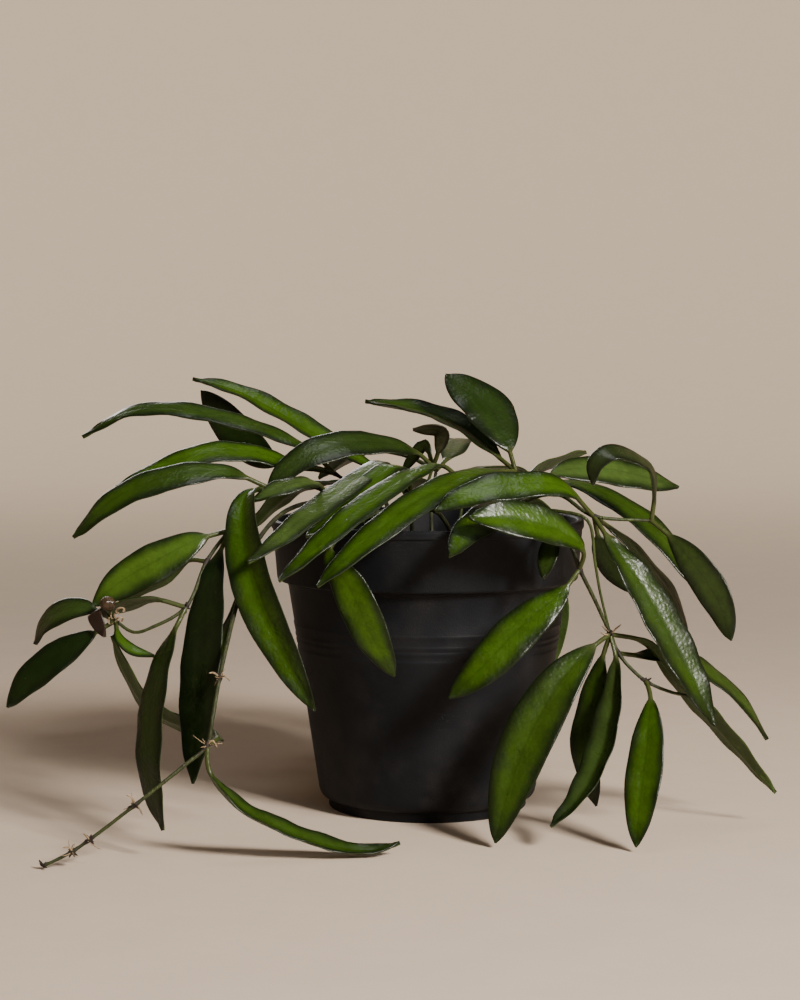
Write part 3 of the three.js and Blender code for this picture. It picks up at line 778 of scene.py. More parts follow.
class StemMaker:
    """Makes stems, aerial roots and buds, with a swelling wherever leaves grow."""

    # Faces round a stem and round a root
    AROUND = 14
    ROOT_AROUND = 7

    # A node's swelling as a share of the radius, how far it reaches and how far its brown reaches
    SWELL = 0.55
    SWELL_REACH = 1.2
    STAIN_REACH = 2.2

    # The distance between two rings and the fewest rings of a stem
    RING_STEP = 1.1
    FEWEST_RINGS = 6

    # The direction that a stem's first side faces in its middle
    FIRST_UP = (0.31, 0.17, 0.94)

    # How uneven a stem's skin is, and the grooves of a bud and their depth, as shares of the radius
    LUMPS = 0.09
    GROOVES = 5
    GROOVE_DEPTH = 0.035

    # The brown of small parts at both ends
    ALL_BROWN = (1.0, 1.0)

    # Radii of a bud scale, a fine root and a dry bit, and the least length of the first two
    SCALE_RADIUS = 0.65
    WHISKER_RADIUS = 0.2
    DRY_RADIUS = 0.32
    SHORTEST = 1.6

    def __init__(self, bm: bmesh.types.BMesh, seed: int) -> None:
        """Prepare to add stems to a mesh.

        Args:
            bm: The mesh that the stems join.
            seed: Starts the small chances that make stems differ.
        """
        self.bm = bm
        self.chance = random.Random(seed)
        self.uv = bm.loops.layers.uv.verify()
        self.tint = bm.verts.layers.float_color.new("stem_tint")

    def tube(self, points: Sequence[Point], radius: float, brown: tuple[float, float],
             nodes: Sequence[Point] = (), along: int = 0, taper: float = 0.4) -> None:
        """Add one round stem along a spline, closed at both ends.

        Args:
            points: What it runs through, in millimetres.
            radius: Its radius between the nodes.
            brown: How brown it is at its two ends, from 0 for green to 1.
            nodes: Points along it that are swollen.
            along: Number of rings, or 0 for one about every millimetre.
            taper: The share of its radius that it loses towards its end.
        """
        spline = Spline(points)
        ribbon = Ribbon(spline, self.FIRST_UP)
        thin = radius <= ROOT_RADIUS
        rings = along or max(self.FEWEST_RINGS, round(spline.length / self.RING_STEP))
        around = self.ROOT_AROUND if thin else self.AROUND
        made = bmesh.ops.create_grid(self.bm, x_segments=around, y_segments=rings, size=0.5)["verts"]
        spots = {vert: (vert.co.x + 0.5, vert.co.y + 0.5) for vert in made}
        frames = {v: ribbon.frame(v) for v in {v for _, v in spots.values()}}
        for vert, (u, v) in spots.items():
            centre, sideways, up = frames[v]
            near = min(((centre - Vector(node)).length for node in nodes), default=99.0)
            swell = 1 + self.SWELL * math.exp(-(near / self.SWELL_REACH) ** 2)
            lumps = 1 + self.LUMPS * noise.noise(centre * 0.9 + Vector((u * 3, 0, 0)))
            end = min(1.0, (min(v, 1 - v) * spline.length / (radius * 0.9)) ** 0.5) if 0 < v < 1 else 0.0
            reach = radius * swell * lumps * end * (1 - taper * v)
            angle = 2 * math.pi * u
            vert.co = (centre + (sideways * math.cos(angle) + up * math.sin(angle)) * reach) * MM
            shade = brown[0] + (brown[1] - brown[0]) * v + 0.8 * math.exp(-(near / self.STAIN_REACH) ** 2)
            vert[self.tint] = (min(1.0, max(0.0, shade)), 1.0 if thin else 0.0, 0.0, 1.0)
        faces = list({face for vert in made for face in vert.link_faces})
        for face in faces:
            for loop in face.loops:
                u, v = spots[loop.vert]
                loop[self.uv].uv = (u, v * spline.length / 10)
        bmesh.ops.remove_doubles(self.bm, verts=made, dist=SAME * MM)
        alive = [face for face in faces if face.is_valid]
        bmesh.ops.recalc_face_normals(self.bm, faces=alive)

    def ball(self, place: Point, radius: float, squash: float, tint: tuple[float, float, float]) -> None:
        """Add a slightly flattened round bud.

        Args:
            place: Its centre in millimetres.
            radius: Its radius.
            squash: Its height for its width.
            tint: Its brown, dry and purple shares.
        """
        made = bmesh.ops.create_icosphere(self.bm, subdivisions=4, radius=radius * MM)["verts"]
        for vert in made:
            way = vert.co.normalized()
            dip = 1 + math.cos(self.GROOVES * math.atan2(way.y, way.x))
            groove = 1 - self.GROOVE_DEPTH * dip * (1 - abs(way.z))
            shaped = Vector((vert.co.x * groove, vert.co.y * groove, vert.co.z * squash))
            vert.co = shaped + Vector(place) * MM
            vert[self.tint] = (*tint, 1.0)

    @staticmethod
    def _above_floor(point: Vector) -> Point:
        """The point itself, or the one just above the surface under it."""
        return (point.x, point.y, max(point.z, ABOVE_FLOOR))

    def _any(self, reach: float) -> Vector:
        """A vector by chance, each of its parts within a reach."""
        return Vector([self.chance.uniform(-reach, reach) for _ in range(3)])

    def scales(self, place: Point, count: int) -> None:
        """Add the dark pointed bud scales that clump round a rooting node.

        Args:
            place: The node, in millimetres.
            count: How many there are.
        """
        for _ in range(count):
            way = self._any(1).normalized()
            long = self.chance.uniform(self.SHORTEST, 3.0)
            points = [self._above_floor(Vector(place) + way * long * t) for t in (0.0, 0.5, 1.0)]
            self.tube(points, self.SCALE_RADIUS, self.ALL_BROWN, along=6, taper=0.75)

    def whiskers(self, place: Point, count: int, longest: float) -> None:
        """Add the fine short roots that stand out round a node.

        Args:
            place: The node, in millimetres.
            count: How many there are.
            longest: The greatest length of one.
        """
        for _ in range(count):
            way = self._any(1).normalized()
            bend = self._any(0.5)
            long = self.chance.uniform(self.SHORTEST, longest)
            start = Vector(place)
            points = [self._above_floor(start + way * long * t + bend * long * t * t)
                      for t in (0.0, 0.4, 0.75, 1.0)]
            self.tube(points, self.WHISKER_RADIUS, self.ALL_BROWN, along=8)

    def dry_rings(self, place: Point, count: int) -> None:
        """Add the curled dry bits that old flower stalks leave round a bud.

        Args:
            place: The middle of them, in millimetres.
            count: How many there are.
        """
        for _ in range(count):
            middle = Vector(place) + self._any(2.4)
            turn = Matrix.Rotation(self.chance.uniform(0, 6.2), 3, Vector((0.3, 0.8, 0.5)).normalized())
            size = self.chance.uniform(0.9, 1.5)
            sweep = self.chance.uniform(3.2, 5.4)
            points = []
            for i in range(6):
                angle = sweep * i / 5
                bend = Vector((math.cos(angle), 0.25 * math.sin(2 * angle), math.sin(angle)))
                points.append(tuple(middle + turn @ bend * size))
            self.tube(points, self.DRY_RADIUS, self.ALL_BROWN, along=16)


class VineMaker:
    """Builds the leaves and the stems of every vine."""

    # The angle in degrees past which an edge stays sharp
    SHARP = 60

    # Heights of the two points where a stem runs down into the soil
    BURIED = (91, 99)

    # Radii of a main stem and of a side shoot
    MAIN_RADIUS = 1.0
    SIDE_RADIUS = 0.75

    # How brown a main stem is where it rises, and a side shoot and a root at both ends
    FOOT_BROWN = 0.85
    SIDE_BROWN = (0.3, 0.1)
    ROOT_BROWN = (0.75, 1.0)

    # The scales of a clump, the dry bits at a bud and their middle's place from it
    SCALES = 11
    DRY_BITS = 7
    DRY_PLACE = (2.5, 0.5, -4.5)

    # A bud's height for its width, and its brown, dry and purple shares
    BUD_SQUASH = 0.94
    BUD_TINT = (0.7, 0.0, 1.0)

    def __init__(self, foliage: bpy.types.Material, bark: bpy.types.Material) -> None:
        """Keep the two finishes.

        Args:
            foliage: The leaves' finish.
            bark: The stems' finish.
        """
        self.foliage = foliage
        self.bark = bark

    def build(self, vine: Vine, seed: int) -> None:
        """Build one vine as a piece of leaves and a piece of stems.

        Args:
            vine: The vine's rows.
            seed: Starts its small chances.
        """
        stems = [list(vine.stem)]
        for side in vine.shoots:
            if side.radius > ROOT_RADIUS:
                stems.append([stems[side.on][side.at], *side.through])
        leafy = bmesh.new()
        leaf_maker = LeafMaker(leafy, seed)
        for row in vine.leaves:
            leaf_maker.add(stems[row.on][row.at], row)
        finish_piece(f"leaves_{vine.name}", leafy, self.foliage, [vine.name], self.SHARP)
        woody = bmesh.new()
        self._grow(vine, stems, StemMaker(woody, seed))
        finish_piece(f"stems_{vine.name}", woody, self.bark, [vine.name], self.SHARP)

    def _grow(self, vine: Vine, stems: Sequence[Sequence[Point]], maker: StemMaker) -> None:
        """Add a vine's stems, roots, scales and buds.

        Args:
            vine: The vine's rows.
            stems: The points of its main stem and of each side shoot.
            maker: Adds them to its mesh.
        """
        nodes = [stems[row.on][row.at] for row in [*vine.leaves, *vine.shoots] if row.at]
        x, y, _ = vine.stem[0]
        buried = [(x, y, z) for z in self.BURIED]
        for number, points in enumerate(stems):
            near = [node for node in nodes if node in points]
            if number == 0:
                shades = (self.FOOT_BROWN, vine.end_brown)
                maker.tube([*buried, *points], self.MAIN_RADIUS, shades, near)
            else:
                maker.tube(points, self.SIDE_RADIUS, self.SIDE_BROWN, near)
        roots = [side for side in vine.shoots if side.radius <= ROOT_RADIUS]
        for side in roots:
            maker.tube([stems[side.on][side.at], *side.through], ROOT_RADIUS, self.ROOT_BROWN)
        for at in sorted({side.at for side in roots}):
            maker.whiskers(vine.stem[at], vine.whiskers, vine.longest_whisker)
        for at in vine.clumps:
            maker.scales(vine.stem[at], self.SCALES)
        for bud in vine.buds:
            maker.ball(bud.place, bud.radius, self.BUD_SQUASH, self.BUD_TINT)
            middle = tuple(a + b for a, b in zip(bud.place, self.DRY_PLACE))
            maker.dry_rings(middle, self.DRY_BITS)


@dataclass(frozen=True)
class PotShape:
    """Sizes of the nursery pot, in millimetres."""

    height: float = 115
    wall: float = 1.7
    floor: float = 3
    foot_radius: float = 39.5
    foot_height: float = 3.6
    foot_round: float = 0.5
    corner_height: float = 9
    radius_at_zero: float = 42.3
    slope: float = 0.149
    ridges: tuple[float, ...] = (64, 67.3, 69.6, 73.9)
    ridge_half: float = 0.75
    ridge_depth: float = 0.13
    wall_top: float = 88.5
    band_foot: float = 91
    band_foot_radius: float = 60
    band_top: float = 111.4
    band_top_radius: float = 61.6
    lip_radius: float = 62.2
    lip_round: float = 0.9
    hollow_flare: float = 1.2
    drain_holes: int = 6
    drain_circle: float = 24
    drain_radius: float = 3.5

    def wall_radius(self, z: float) -> float:
        """The outer radius of the tapered wall at a height."""
        return self.radius_at_zero + self.slope * z


POT = PotShape()
SOIL_TOP = 103.0
SOIL_GAP = 0.35


def soil_height(x: float, y: float) -> float:
    """How high the soil stands at a place, in millimetres."""
    lump = math.sin(x * 0.31 + 1) * math.cos(y * 0.27) + 0.5 * math.sin(x * 0.11 - y * 0.19)
    return SOIL_TOP + 1.1 * lump


@dataclass
class PotMaker:
    """Builds the moulded pot: tapered wall, thin rings, rim band with its lip and a floor with holes."""

    shape: PotShape = POT
    turns: int = 160
    corner_steps: int = 8

    def profile(self) -> list[Spot]:
        """The pot's outline from the middle of its underside, up the outside and down the inside.

        Returns:
            Pairs of radius and height in millimetres.
        """
        pot = self.shape
        line = [(0.0, 0.0), (pot.foot_radius - pot.foot_round, 0.0), (pot.foot_radius, pot.foot_round)]
        line += [(pot.foot_radius, pot.foot_height - 0.3), (pot.foot_radius + 0.3, pot.foot_height)]
        low = Vector((pot.foot_radius + 0.9, pot.foot_height + 0.45))
        top = Vector((pot.wall_radius(pot.corner_height), pot.corner_height))
        pull = Vector((top.x - 0.45, pot.foot_height + 0.9))
        for step in range(self.corner_steps + 1):
            t = step / self.corner_steps
            spot = low * (1 - t) ** 2 + pull * (2 * t * (1 - t)) + top * t ** 2
            line.append((spot.x, spot.y))
        for z in pot.ridges:
            for step in range(7):
                t = step / 3 - 1
                line.append((pot.wall_radius(z) + pot.ridge_depth * (1 - t * t), z + pot.ridge_half * t))
        line += [(pot.wall_radius(pot.wall_top), pot.wall_top)]
        line += [(pot.wall_radius(pot.band_foot) + 0.5, pot.band_foot - 0.5)]
        line += self._rounded((pot.band_foot_radius - 1.6, pot.band_foot),
                              (pot.band_foot_radius, pot.band_foot),
                              (pot.band_foot_radius, pot.band_foot + 1.4))
        line += [(pot.band_top_radius - 0.05, pot.band_top - 0.4)]
        line += self._rounded((pot.band_top_radius, pot.band_top), (pot.lip_radius, pot.band_top + 0.2),
                              (pot.lip_radius, pot.band_top + pot.lip_round))
        line += self._rounded((pot.lip_radius, pot.height - pot.lip_round), (pot.lip_radius, pot.height),
                              (pot.lip_radius - pot.lip_round, pot.height))
        mouth = pot.band_foot_radius - pot.wall + pot.hollow_flare
        line += self._rounded((mouth + 0.8, pot.height), (mouth, pot.height), (mouth - 0.3, pot.height - 0.8))
        band = pot.band_foot_radius - pot.wall
        step_z = pot.band_foot + pot.wall
        line += [(band, step_z + pot.wall), (pot.wall_radius(pot.band_foot) - pot.wall, step_z)]
        heel = pot.wall_radius(pot.corner_height) - pot.wall
        line += [(heel, pot.corner_height), (heel - pot.floor, pot.floor), (0.0, pot.floor)]
        return line

    @staticmethod
    def _rounded(start: Spot, corner: Spot, end: Spot) -> list[Spot]:
        """A quarter turn between two points, drawn towards a corner."""
        a, b, c = Vector(start), Vector(corner), Vector(end)
        spots = [a * (1 - t) ** 2 + b * (2 * t * (1 - t)) + c * t * t for t in (0, 0.25, 0.5, 0.75, 1)]
        return [(spot.x, spot.y) for spot in spots]

    def build(self, material: bpy.types.Material) -> None:
        """Spin the profile, cut the drain holes and finish the pot.

        Args:
            material: The plastic.
        """
        bm = turned(self.profile(), self.turns)
        bmesh.ops.recalc_face_normals(bm, faces=bm.faces[:])
        pot = finish_piece("nursery_pot", bm, material, ["pot"], 50)
        self._drill(pot)

    def _drill(self, pot: bpy.types.Object) -> None:
        """Cut the drain holes through the floor.

        Args:
            pot: The pot's piece, whose mesh is replaced by the cut one.
        """
        bm = bmesh.new()
        for i in range(self.shape.drain_holes):
            angle = 2 * math.pi * i / self.shape.drain_holes
            way = Vector((math.cos(angle), math.sin(angle), 0.0)) * self.shape.drain_circle * MM
            spot = Matrix.Translation(way + Vector((0, 0, self.shape.floor / 2 * MM)))
            bmesh.ops.create_cone(bm, cap_ends=True, segments=32, radius1=self.shape.drain_radius * MM,
                                  radius2=self.shape.drain_radius * MM, depth=8 * MM, matrix=spot)
        cutter = add_object("drain_cutter", bm)
        cut = pot.modifiers.new("Drain holes", "BOOLEAN")
        cut.operation = "DIFFERENCE"
        cut.solver = "EXACT"
        cut.object = cutter
        graph = bpy.context.evaluated_depsgraph_get()
        drilled = bpy.data.meshes.new_from_object(pot.evaluated_get(graph))
        pot.modifiers.clear()
        pot.data = drilled
        bpy.data.objects.remove(cutter)


@dataclass
class SoilMaker:
    """Builds the potting mix: an uneven top with bark chips, fibres and a few pale grains on it."""

    radius: float = POT.band_foot_radius - POT.wall - SOIL_GAP
    turns: int = 120
    rings: int = 46
    chips: int = 620
    fibres: int = 150
    grains: int = 46
    rim_margin: float = 4.0
    seed: int = 11

    def build(self, material: bpy.types.Material) -> None:
        """Build the filled body of soil and the loose bits on it.

        Args:
            material: The soil's finish.
        """
        self._body(material)
        self._bits(material)

    def _body(self, material: bpy.types.Material) -> None:
        """Spin the soil's outline and give its top its lumps."""
        pot = POT
        line = [(self.radius * i / self.rings, SOIL_TOP) for i in range(self.rings + 1)]
        step_z = pot.band_foot + pot.wall + SOIL_GAP
        shoulder = pot.wall_radius(pot.band_foot) - pot.wall - SOIL_GAP
        line += [(self.radius, step_z + pot.wall), (shoulder, step_z)]
        heel = pot.wall_radius(pot.corner_height) - pot.wall - SOIL_GAP
        bottom = pot.floor + SOIL_GAP
        line += [(heel, pot.corner_height), (heel - pot.floor, bottom), (0.0, bottom)]
        bm = turned(line, self.turns)
        tint = bm.verts.layers.float_color.new("crumb_tint")
        for vert in bm.verts:
            vert[tint] = (0.25, 0.0, 0.0, 1.0)
            if vert.co.z < (SOIL_TOP - SAME) * MM:
                continue
            x, y = vert.co.x / MM, vert.co.y / MM
            fine = noise.noise(Vector((x * 0.45, y * 0.45, 0.0))) + 0.6 * noise.noise(Vector((x, y, 5.0)))
            edge = smooth(self.radius, self.radius - self.rim_margin, math.hypot(x, y))
            vert.co.z = (soil_height(x, y) + 0.8 * fine * edge) * MM
        bmesh.ops.recalc_face_normals(bm, faces=bm.faces[:])
        finish_piece("soil_body", bm, material, ["soil"], 70)

    def _bits(self, material: bpy.types.Material) -> None:
        """Scatter the bark chips, fibres and pale grains over the top."""
        chance = random.Random(self.seed)
        bm = bmesh.new()
        tint = bm.verts.layers.float_color.new("crumb_tint")
        kinds = ["chip"] * self.chips + ["fibre"] * self.fibres + ["grain"] * self.grains
        for kind in kinds:
            far = (self.radius - self.rim_margin) * chance.random() ** 0.5
            way = chance.uniform(0, 2 * math.pi)
            x, y = far * math.cos(way), far * math.sin(way)
            size, stretch, shade = self._bit(kind, chance)
            turn = Matrix.Rotation(chance.uniform(0, 6.3), 3, "Z")
            tip = Matrix.Rotation(chance.uniform(-0.5, 0.5), 3, "X")
            tip = tip @ Matrix.Rotation(chance.uniform(-0.5, 0.5), 3, "Y")
            spot = Vector((x, y, soil_height(x, y) + size * stretch[2] * 0.5 + chance.uniform(-0.2, 0.7)))
            made = bmesh.ops.create_icosphere(bm, subdivisions=1, radius=1.0)["verts"]
            for vert in made:
                rough = 1 + 0.25 * noise.noise(vert.co * 1.7 + spot)
                bit = Vector(c * s for c, s in zip(vert.co, stretch)) * size * rough
                vert.co = (turn @ (tip @ bit) + spot) * MM
                vert[tint] = (shade, 1.0 if kind == "grain" else 0.0, 1.0 if kind == "fibre" else 0.0, 1.0)
        bmesh.ops.recalc_face_normals(bm, faces=bm.faces[:])
        finish_piece("soil_bits", bm, material, (), 35)

    @staticmethod
    def _bit(kind: str, chance: random.Random) -> tuple[float, Point, float]:
        """The size, stretch and shade of one loose bit.

        Args:
            kind: chip, fibre or grain.
            chance: The source of chance.

        Returns:
            Its half size in millimetres, its stretch along X, Y and Z, and its shade from 0 to 1.
        """
        if kind == "chip":
            size = chance.uniform(0.7, 2.4)
            stretch = (1.0, chance.uniform(0.4, 0.8), chance.uniform(0.2, 0.45))
            return size, stretch, chance.random()
        if kind == "fibre":
            return chance.uniform(2.2, 4.5), (1.0, 0.06, 0.06), chance.random()
        return chance.uniform(0.5, 1.0), (1.0, 0.9, 0.8), 0.8


class Graph:
    """Short calls that place and join the nodes of one material or node group."""

    def __init__(self, tree: bpy.types.NodeTree) -> None:
        """Work on one node tree."""
        self.tree = tree

    def put(self, kind: str, values: Values | None = None, **settings: object) -> bpy.types.Node:
        """Place a node.

        Args:
            kind: The node's type.
            values: Sockets to link, or values to set, by input name or number.
            settings: The node's own settings.

        Returns:
            The node.
        """
        node = self.tree.nodes.new(kind)
        for name, setting in settings.items():
            setattr(node, name, setting)
        self.feed(node, values or {})
        return node

    def feed(self, node: bpy.types.Node, values: Values) -> None:
        """Link sockets to a node's inputs, or set the inputs' values, by name or number."""
        for name, value in values.items():
            if isinstance(value, Socket):
                self.tree.links.new(value, node.inputs[name])
            else:
                node.inputs[name].default_value = value

    def group(self, effect: bpy.types.NodeTree, values: Values) -> bpy.types.Node:
        """Place one of the shared effects."""
        return self.put("ShaderNodeGroup", values, node_tree=effect)

    def maths(self, operation: str, a: object, b: object = 0.0, c: object = 0.0,
              clamp: bool = False) -> Socket:
        """A sum of two or three numbers."""
        values = {0: a, 1: b, 2: c}
        return self.put("ShaderNodeMath", values, operation=operation, use_clamp=clamp).outputs[0]

    def mix(self, share: object, a: object, b: object) -> Socket:
        """Two colours mixed by a share."""
        values = {0: share, 6: a, 7: b}
        return self.put("ShaderNodeMix", values, data_type="RGBA", clamp_result=False).outputs[2]

    def step(self, value: object, low: float, high: float, to_low: float = 0.0,
             to_high: float = 1.0) -> Socket:
        """A number moved smoothly from one range to another."""
        values = {0: value, 1: low, 2: high, 3: to_low, 4: to_high}
        return self.put("ShaderNodeMapRange", values, interpolation_type="SMOOTHSTEP").outputs[0]

    def noise(self, place: Socket, scale: object, detail: float = 3.0, rough: float = 0.55) -> Socket:
        """Soft noise about 0.5 at a scale per metre."""
        values = {"Vector": place, "Scale": scale, "Detail": detail, "Roughness": rough}
        return self.put("ShaderNodeTexNoise", values).outputs[0]

    def stretched(self, place: Socket, along_z: float) -> Socket:
        """A place with its Z scaled, to draw a pattern out along the height."""
        values = {"Vector": place, "Scale": (1.0, 1.0, along_z)}
        return self.put("ShaderNodeMapping", values).outputs[0]

    def attribute(self, name: str) -> tuple[Socket, Socket, Socket]:
        """The three channels of one of the piece's own colour attributes."""
        node = self.put("ShaderNodeAttribute", attribute_name=name)
        parts = self.put("ShaderNodeSeparateColor", {0: node.outputs["Color"]})
        return parts.outputs[0], parts.outputs[1], parts.outputs[2]

    def place(self) -> Socket:
        """The object coordinates, in metres."""
        return self.put("ShaderNodeTexCoord").outputs["Object"]


class Effects:
    """The effects that several finishes share, each a node group that is built once."""

    def __init__(self) -> None:
        """Build the groups."""
        self.blotches = self._blotches()
        self.skin = self._skin()
        self.dust = self._dust()

    @staticmethod
    def _group(name: str, inputs: Sequence[tuple[str, str, object]], outputs: Sequence[tuple[str, str]]
               ) -> tuple[bpy.types.NodeTree, Graph, bpy.types.Node, bpy.types.Node]:
        """Start a node group.

        Args:
            name: The group's name.
            inputs: Each input's name, kind and value.
            outputs: Each output's name and kind.

        Returns:
            The group, its graph, its input node and its output node.
        """
        tree = bpy.data.node_groups.new(name, "ShaderNodeTree")
        for label, kind, value in inputs:
            socket = tree.interface.new_socket(label, in_out="INPUT", socket_type=f"NodeSocket{kind}")
            if value is not None:
                socket.default_value = value
        for label, kind in outputs:
            tree.interface.new_socket(label, in_out="OUTPUT", socket_type=f"NodeSocket{kind}")
        graph = Graph(tree)
        return tree, graph, graph.put("NodeGroupInput"), graph.put("NodeGroupOutput")

    def _blotches(self) -> bpy.types.NodeTree:
        """Colour that drifts lighter and darker in soft patches."""
        tree, graph, given, out = self._group("Soft blotches", [
            ("Colour", "Color", None), ("Place", "Vector", None),
            ("Scale", "Float", 120.0), ("Amount", "Float", 0.3),
        ], [("Colour", "Color"), ("Mask", "Float")])
        wide = graph.noise(given.outputs["Place"], given.outputs["Scale"], 2.0)
        fine = graph.noise(given.outputs["Place"], graph.maths("MULTIPLY", given.outputs["Scale"], 4.3), 3.0)
        both = graph.maths("MULTIPLY_ADD", fine, 0.4, graph.maths("MULTIPLY", wide, 0.6))
        mask = graph.step(both, 0.36, 0.64)
        gain = graph.maths("MULTIPLY_ADD", graph.maths("SUBTRACT", mask, 0.5), given.outputs["Amount"], 1.0)
        scaled = graph.put("ShaderNodeVectorMath", {0: given.outputs["Colour"], 3: gain}, operation="SCALE")
        graph.feed(out, {"Colour": scaled.outputs[0], "Mask": mask})
        return tree

    def _skin(self) -> bpy.types.NodeTree:
        """The height of a finely pebbled, gently dented surface."""
        tree, graph, given, out = self._group("Pebbled skin", [
            ("Place", "Vector", None), ("Scale", "Float", 900.0),
            ("Dents", "Float", 0.5), ("Pebbles", "Float", 0.5),
        ], [("Height", "Float")])
        scale = given.outputs["Scale"]
        dents = graph.noise(given.outputs["Place"], graph.maths("MULTIPLY", scale, 0.22), 2.0, 0.5)
        cells = graph.put("ShaderNodeTexVoronoi", {"Vector": given.outputs["Place"], "Scale": scale})
        cells = graph.step(cells.outputs["Distance"], 0.0, 0.75)
        grain = graph.noise(given.outputs["Place"], graph.maths("MULTIPLY", scale, 1.7), 2.0)
        pebbles = graph.maths("MULTIPLY_ADD", cells, -0.6, graph.maths("MULTIPLY", grain, 0.4))
        height = graph.maths("MULTIPLY_ADD", pebbles, given.outputs["Pebbles"],
                             graph.maths("MULTIPLY", dents, given.outputs["Dents"]))
        graph.feed(out, {"Height": height})
        return tree

    def _dust(self) -> bpy.types.NodeTree:
        """A thin film of pale dust that lies in patches and dulls the surface."""
        tree, graph, given, out = self._group("Thin dust", [
            ("Colour", "Color", None), ("Roughness", "Float", 0.5), ("Place", "Vector", None),
            ("Amount", "Float", 0.2), ("Dust", "Color", (0.3, 0.26, 0.2, 1.0)),
        ], [("Colour", "Color"), ("Roughness", "Float")])
        wide = graph.step(graph.noise(given.outputs["Place"], 55.0, 3.0), 0.45, 0.75)
        fine = graph.step(graph.noise(given.outputs["Place"], 1400.0, 2.0), 0.5, 0.72)
        film = graph.maths("MULTIPLY", graph.maths("MULTIPLY_ADD", fine, 0.6, 0.4), wide)
        share = graph.maths("MULTIPLY", film, given.outputs["Amount"], clamp=True)
        colour = graph.mix(share, given.outputs["Colour"], given.outputs["Dust"])
        rough = graph.maths("MULTIPLY_ADD", share, 0.5, given.outputs["Roughness"], clamp=True)
        graph.feed(out, {"Colour": colour, "Roughness": rough})
        return tree


@dataclass
class Finish:
    """A material with a Principled shader that a subclass dresses."""

    effects: Effects
    name: str = "finish"

    def start(self) -> tuple[bpy.types.Material, Graph, bpy.types.Node]:
        """Make an empty material with its shader.

        Returns:
            The material, its graph and its Principled node.
        """
        material = bpy.data.materials.new(self.name)
        material.use_nodes = True
        material.node_tree.nodes.clear()
        graph = Graph(material.node_tree)
        shader = graph.put("ShaderNodeBsdfPrincipled")
        graph.put("ShaderNodeOutputMaterial", {0: shader.outputs[0]})
        return material, graph, shader

    @staticmethod
    def bump(graph: Graph, shader: bpy.types.Node, height: Socket, strength: float, depth: float) -> None:
        """Let a height bend the shader's normal."""
        node = graph.put("ShaderNodeBump", {"Height": height, "Strength": strength, "Distance": depth})
        graph.feed(shader, {"Normal": node.outputs[0]})


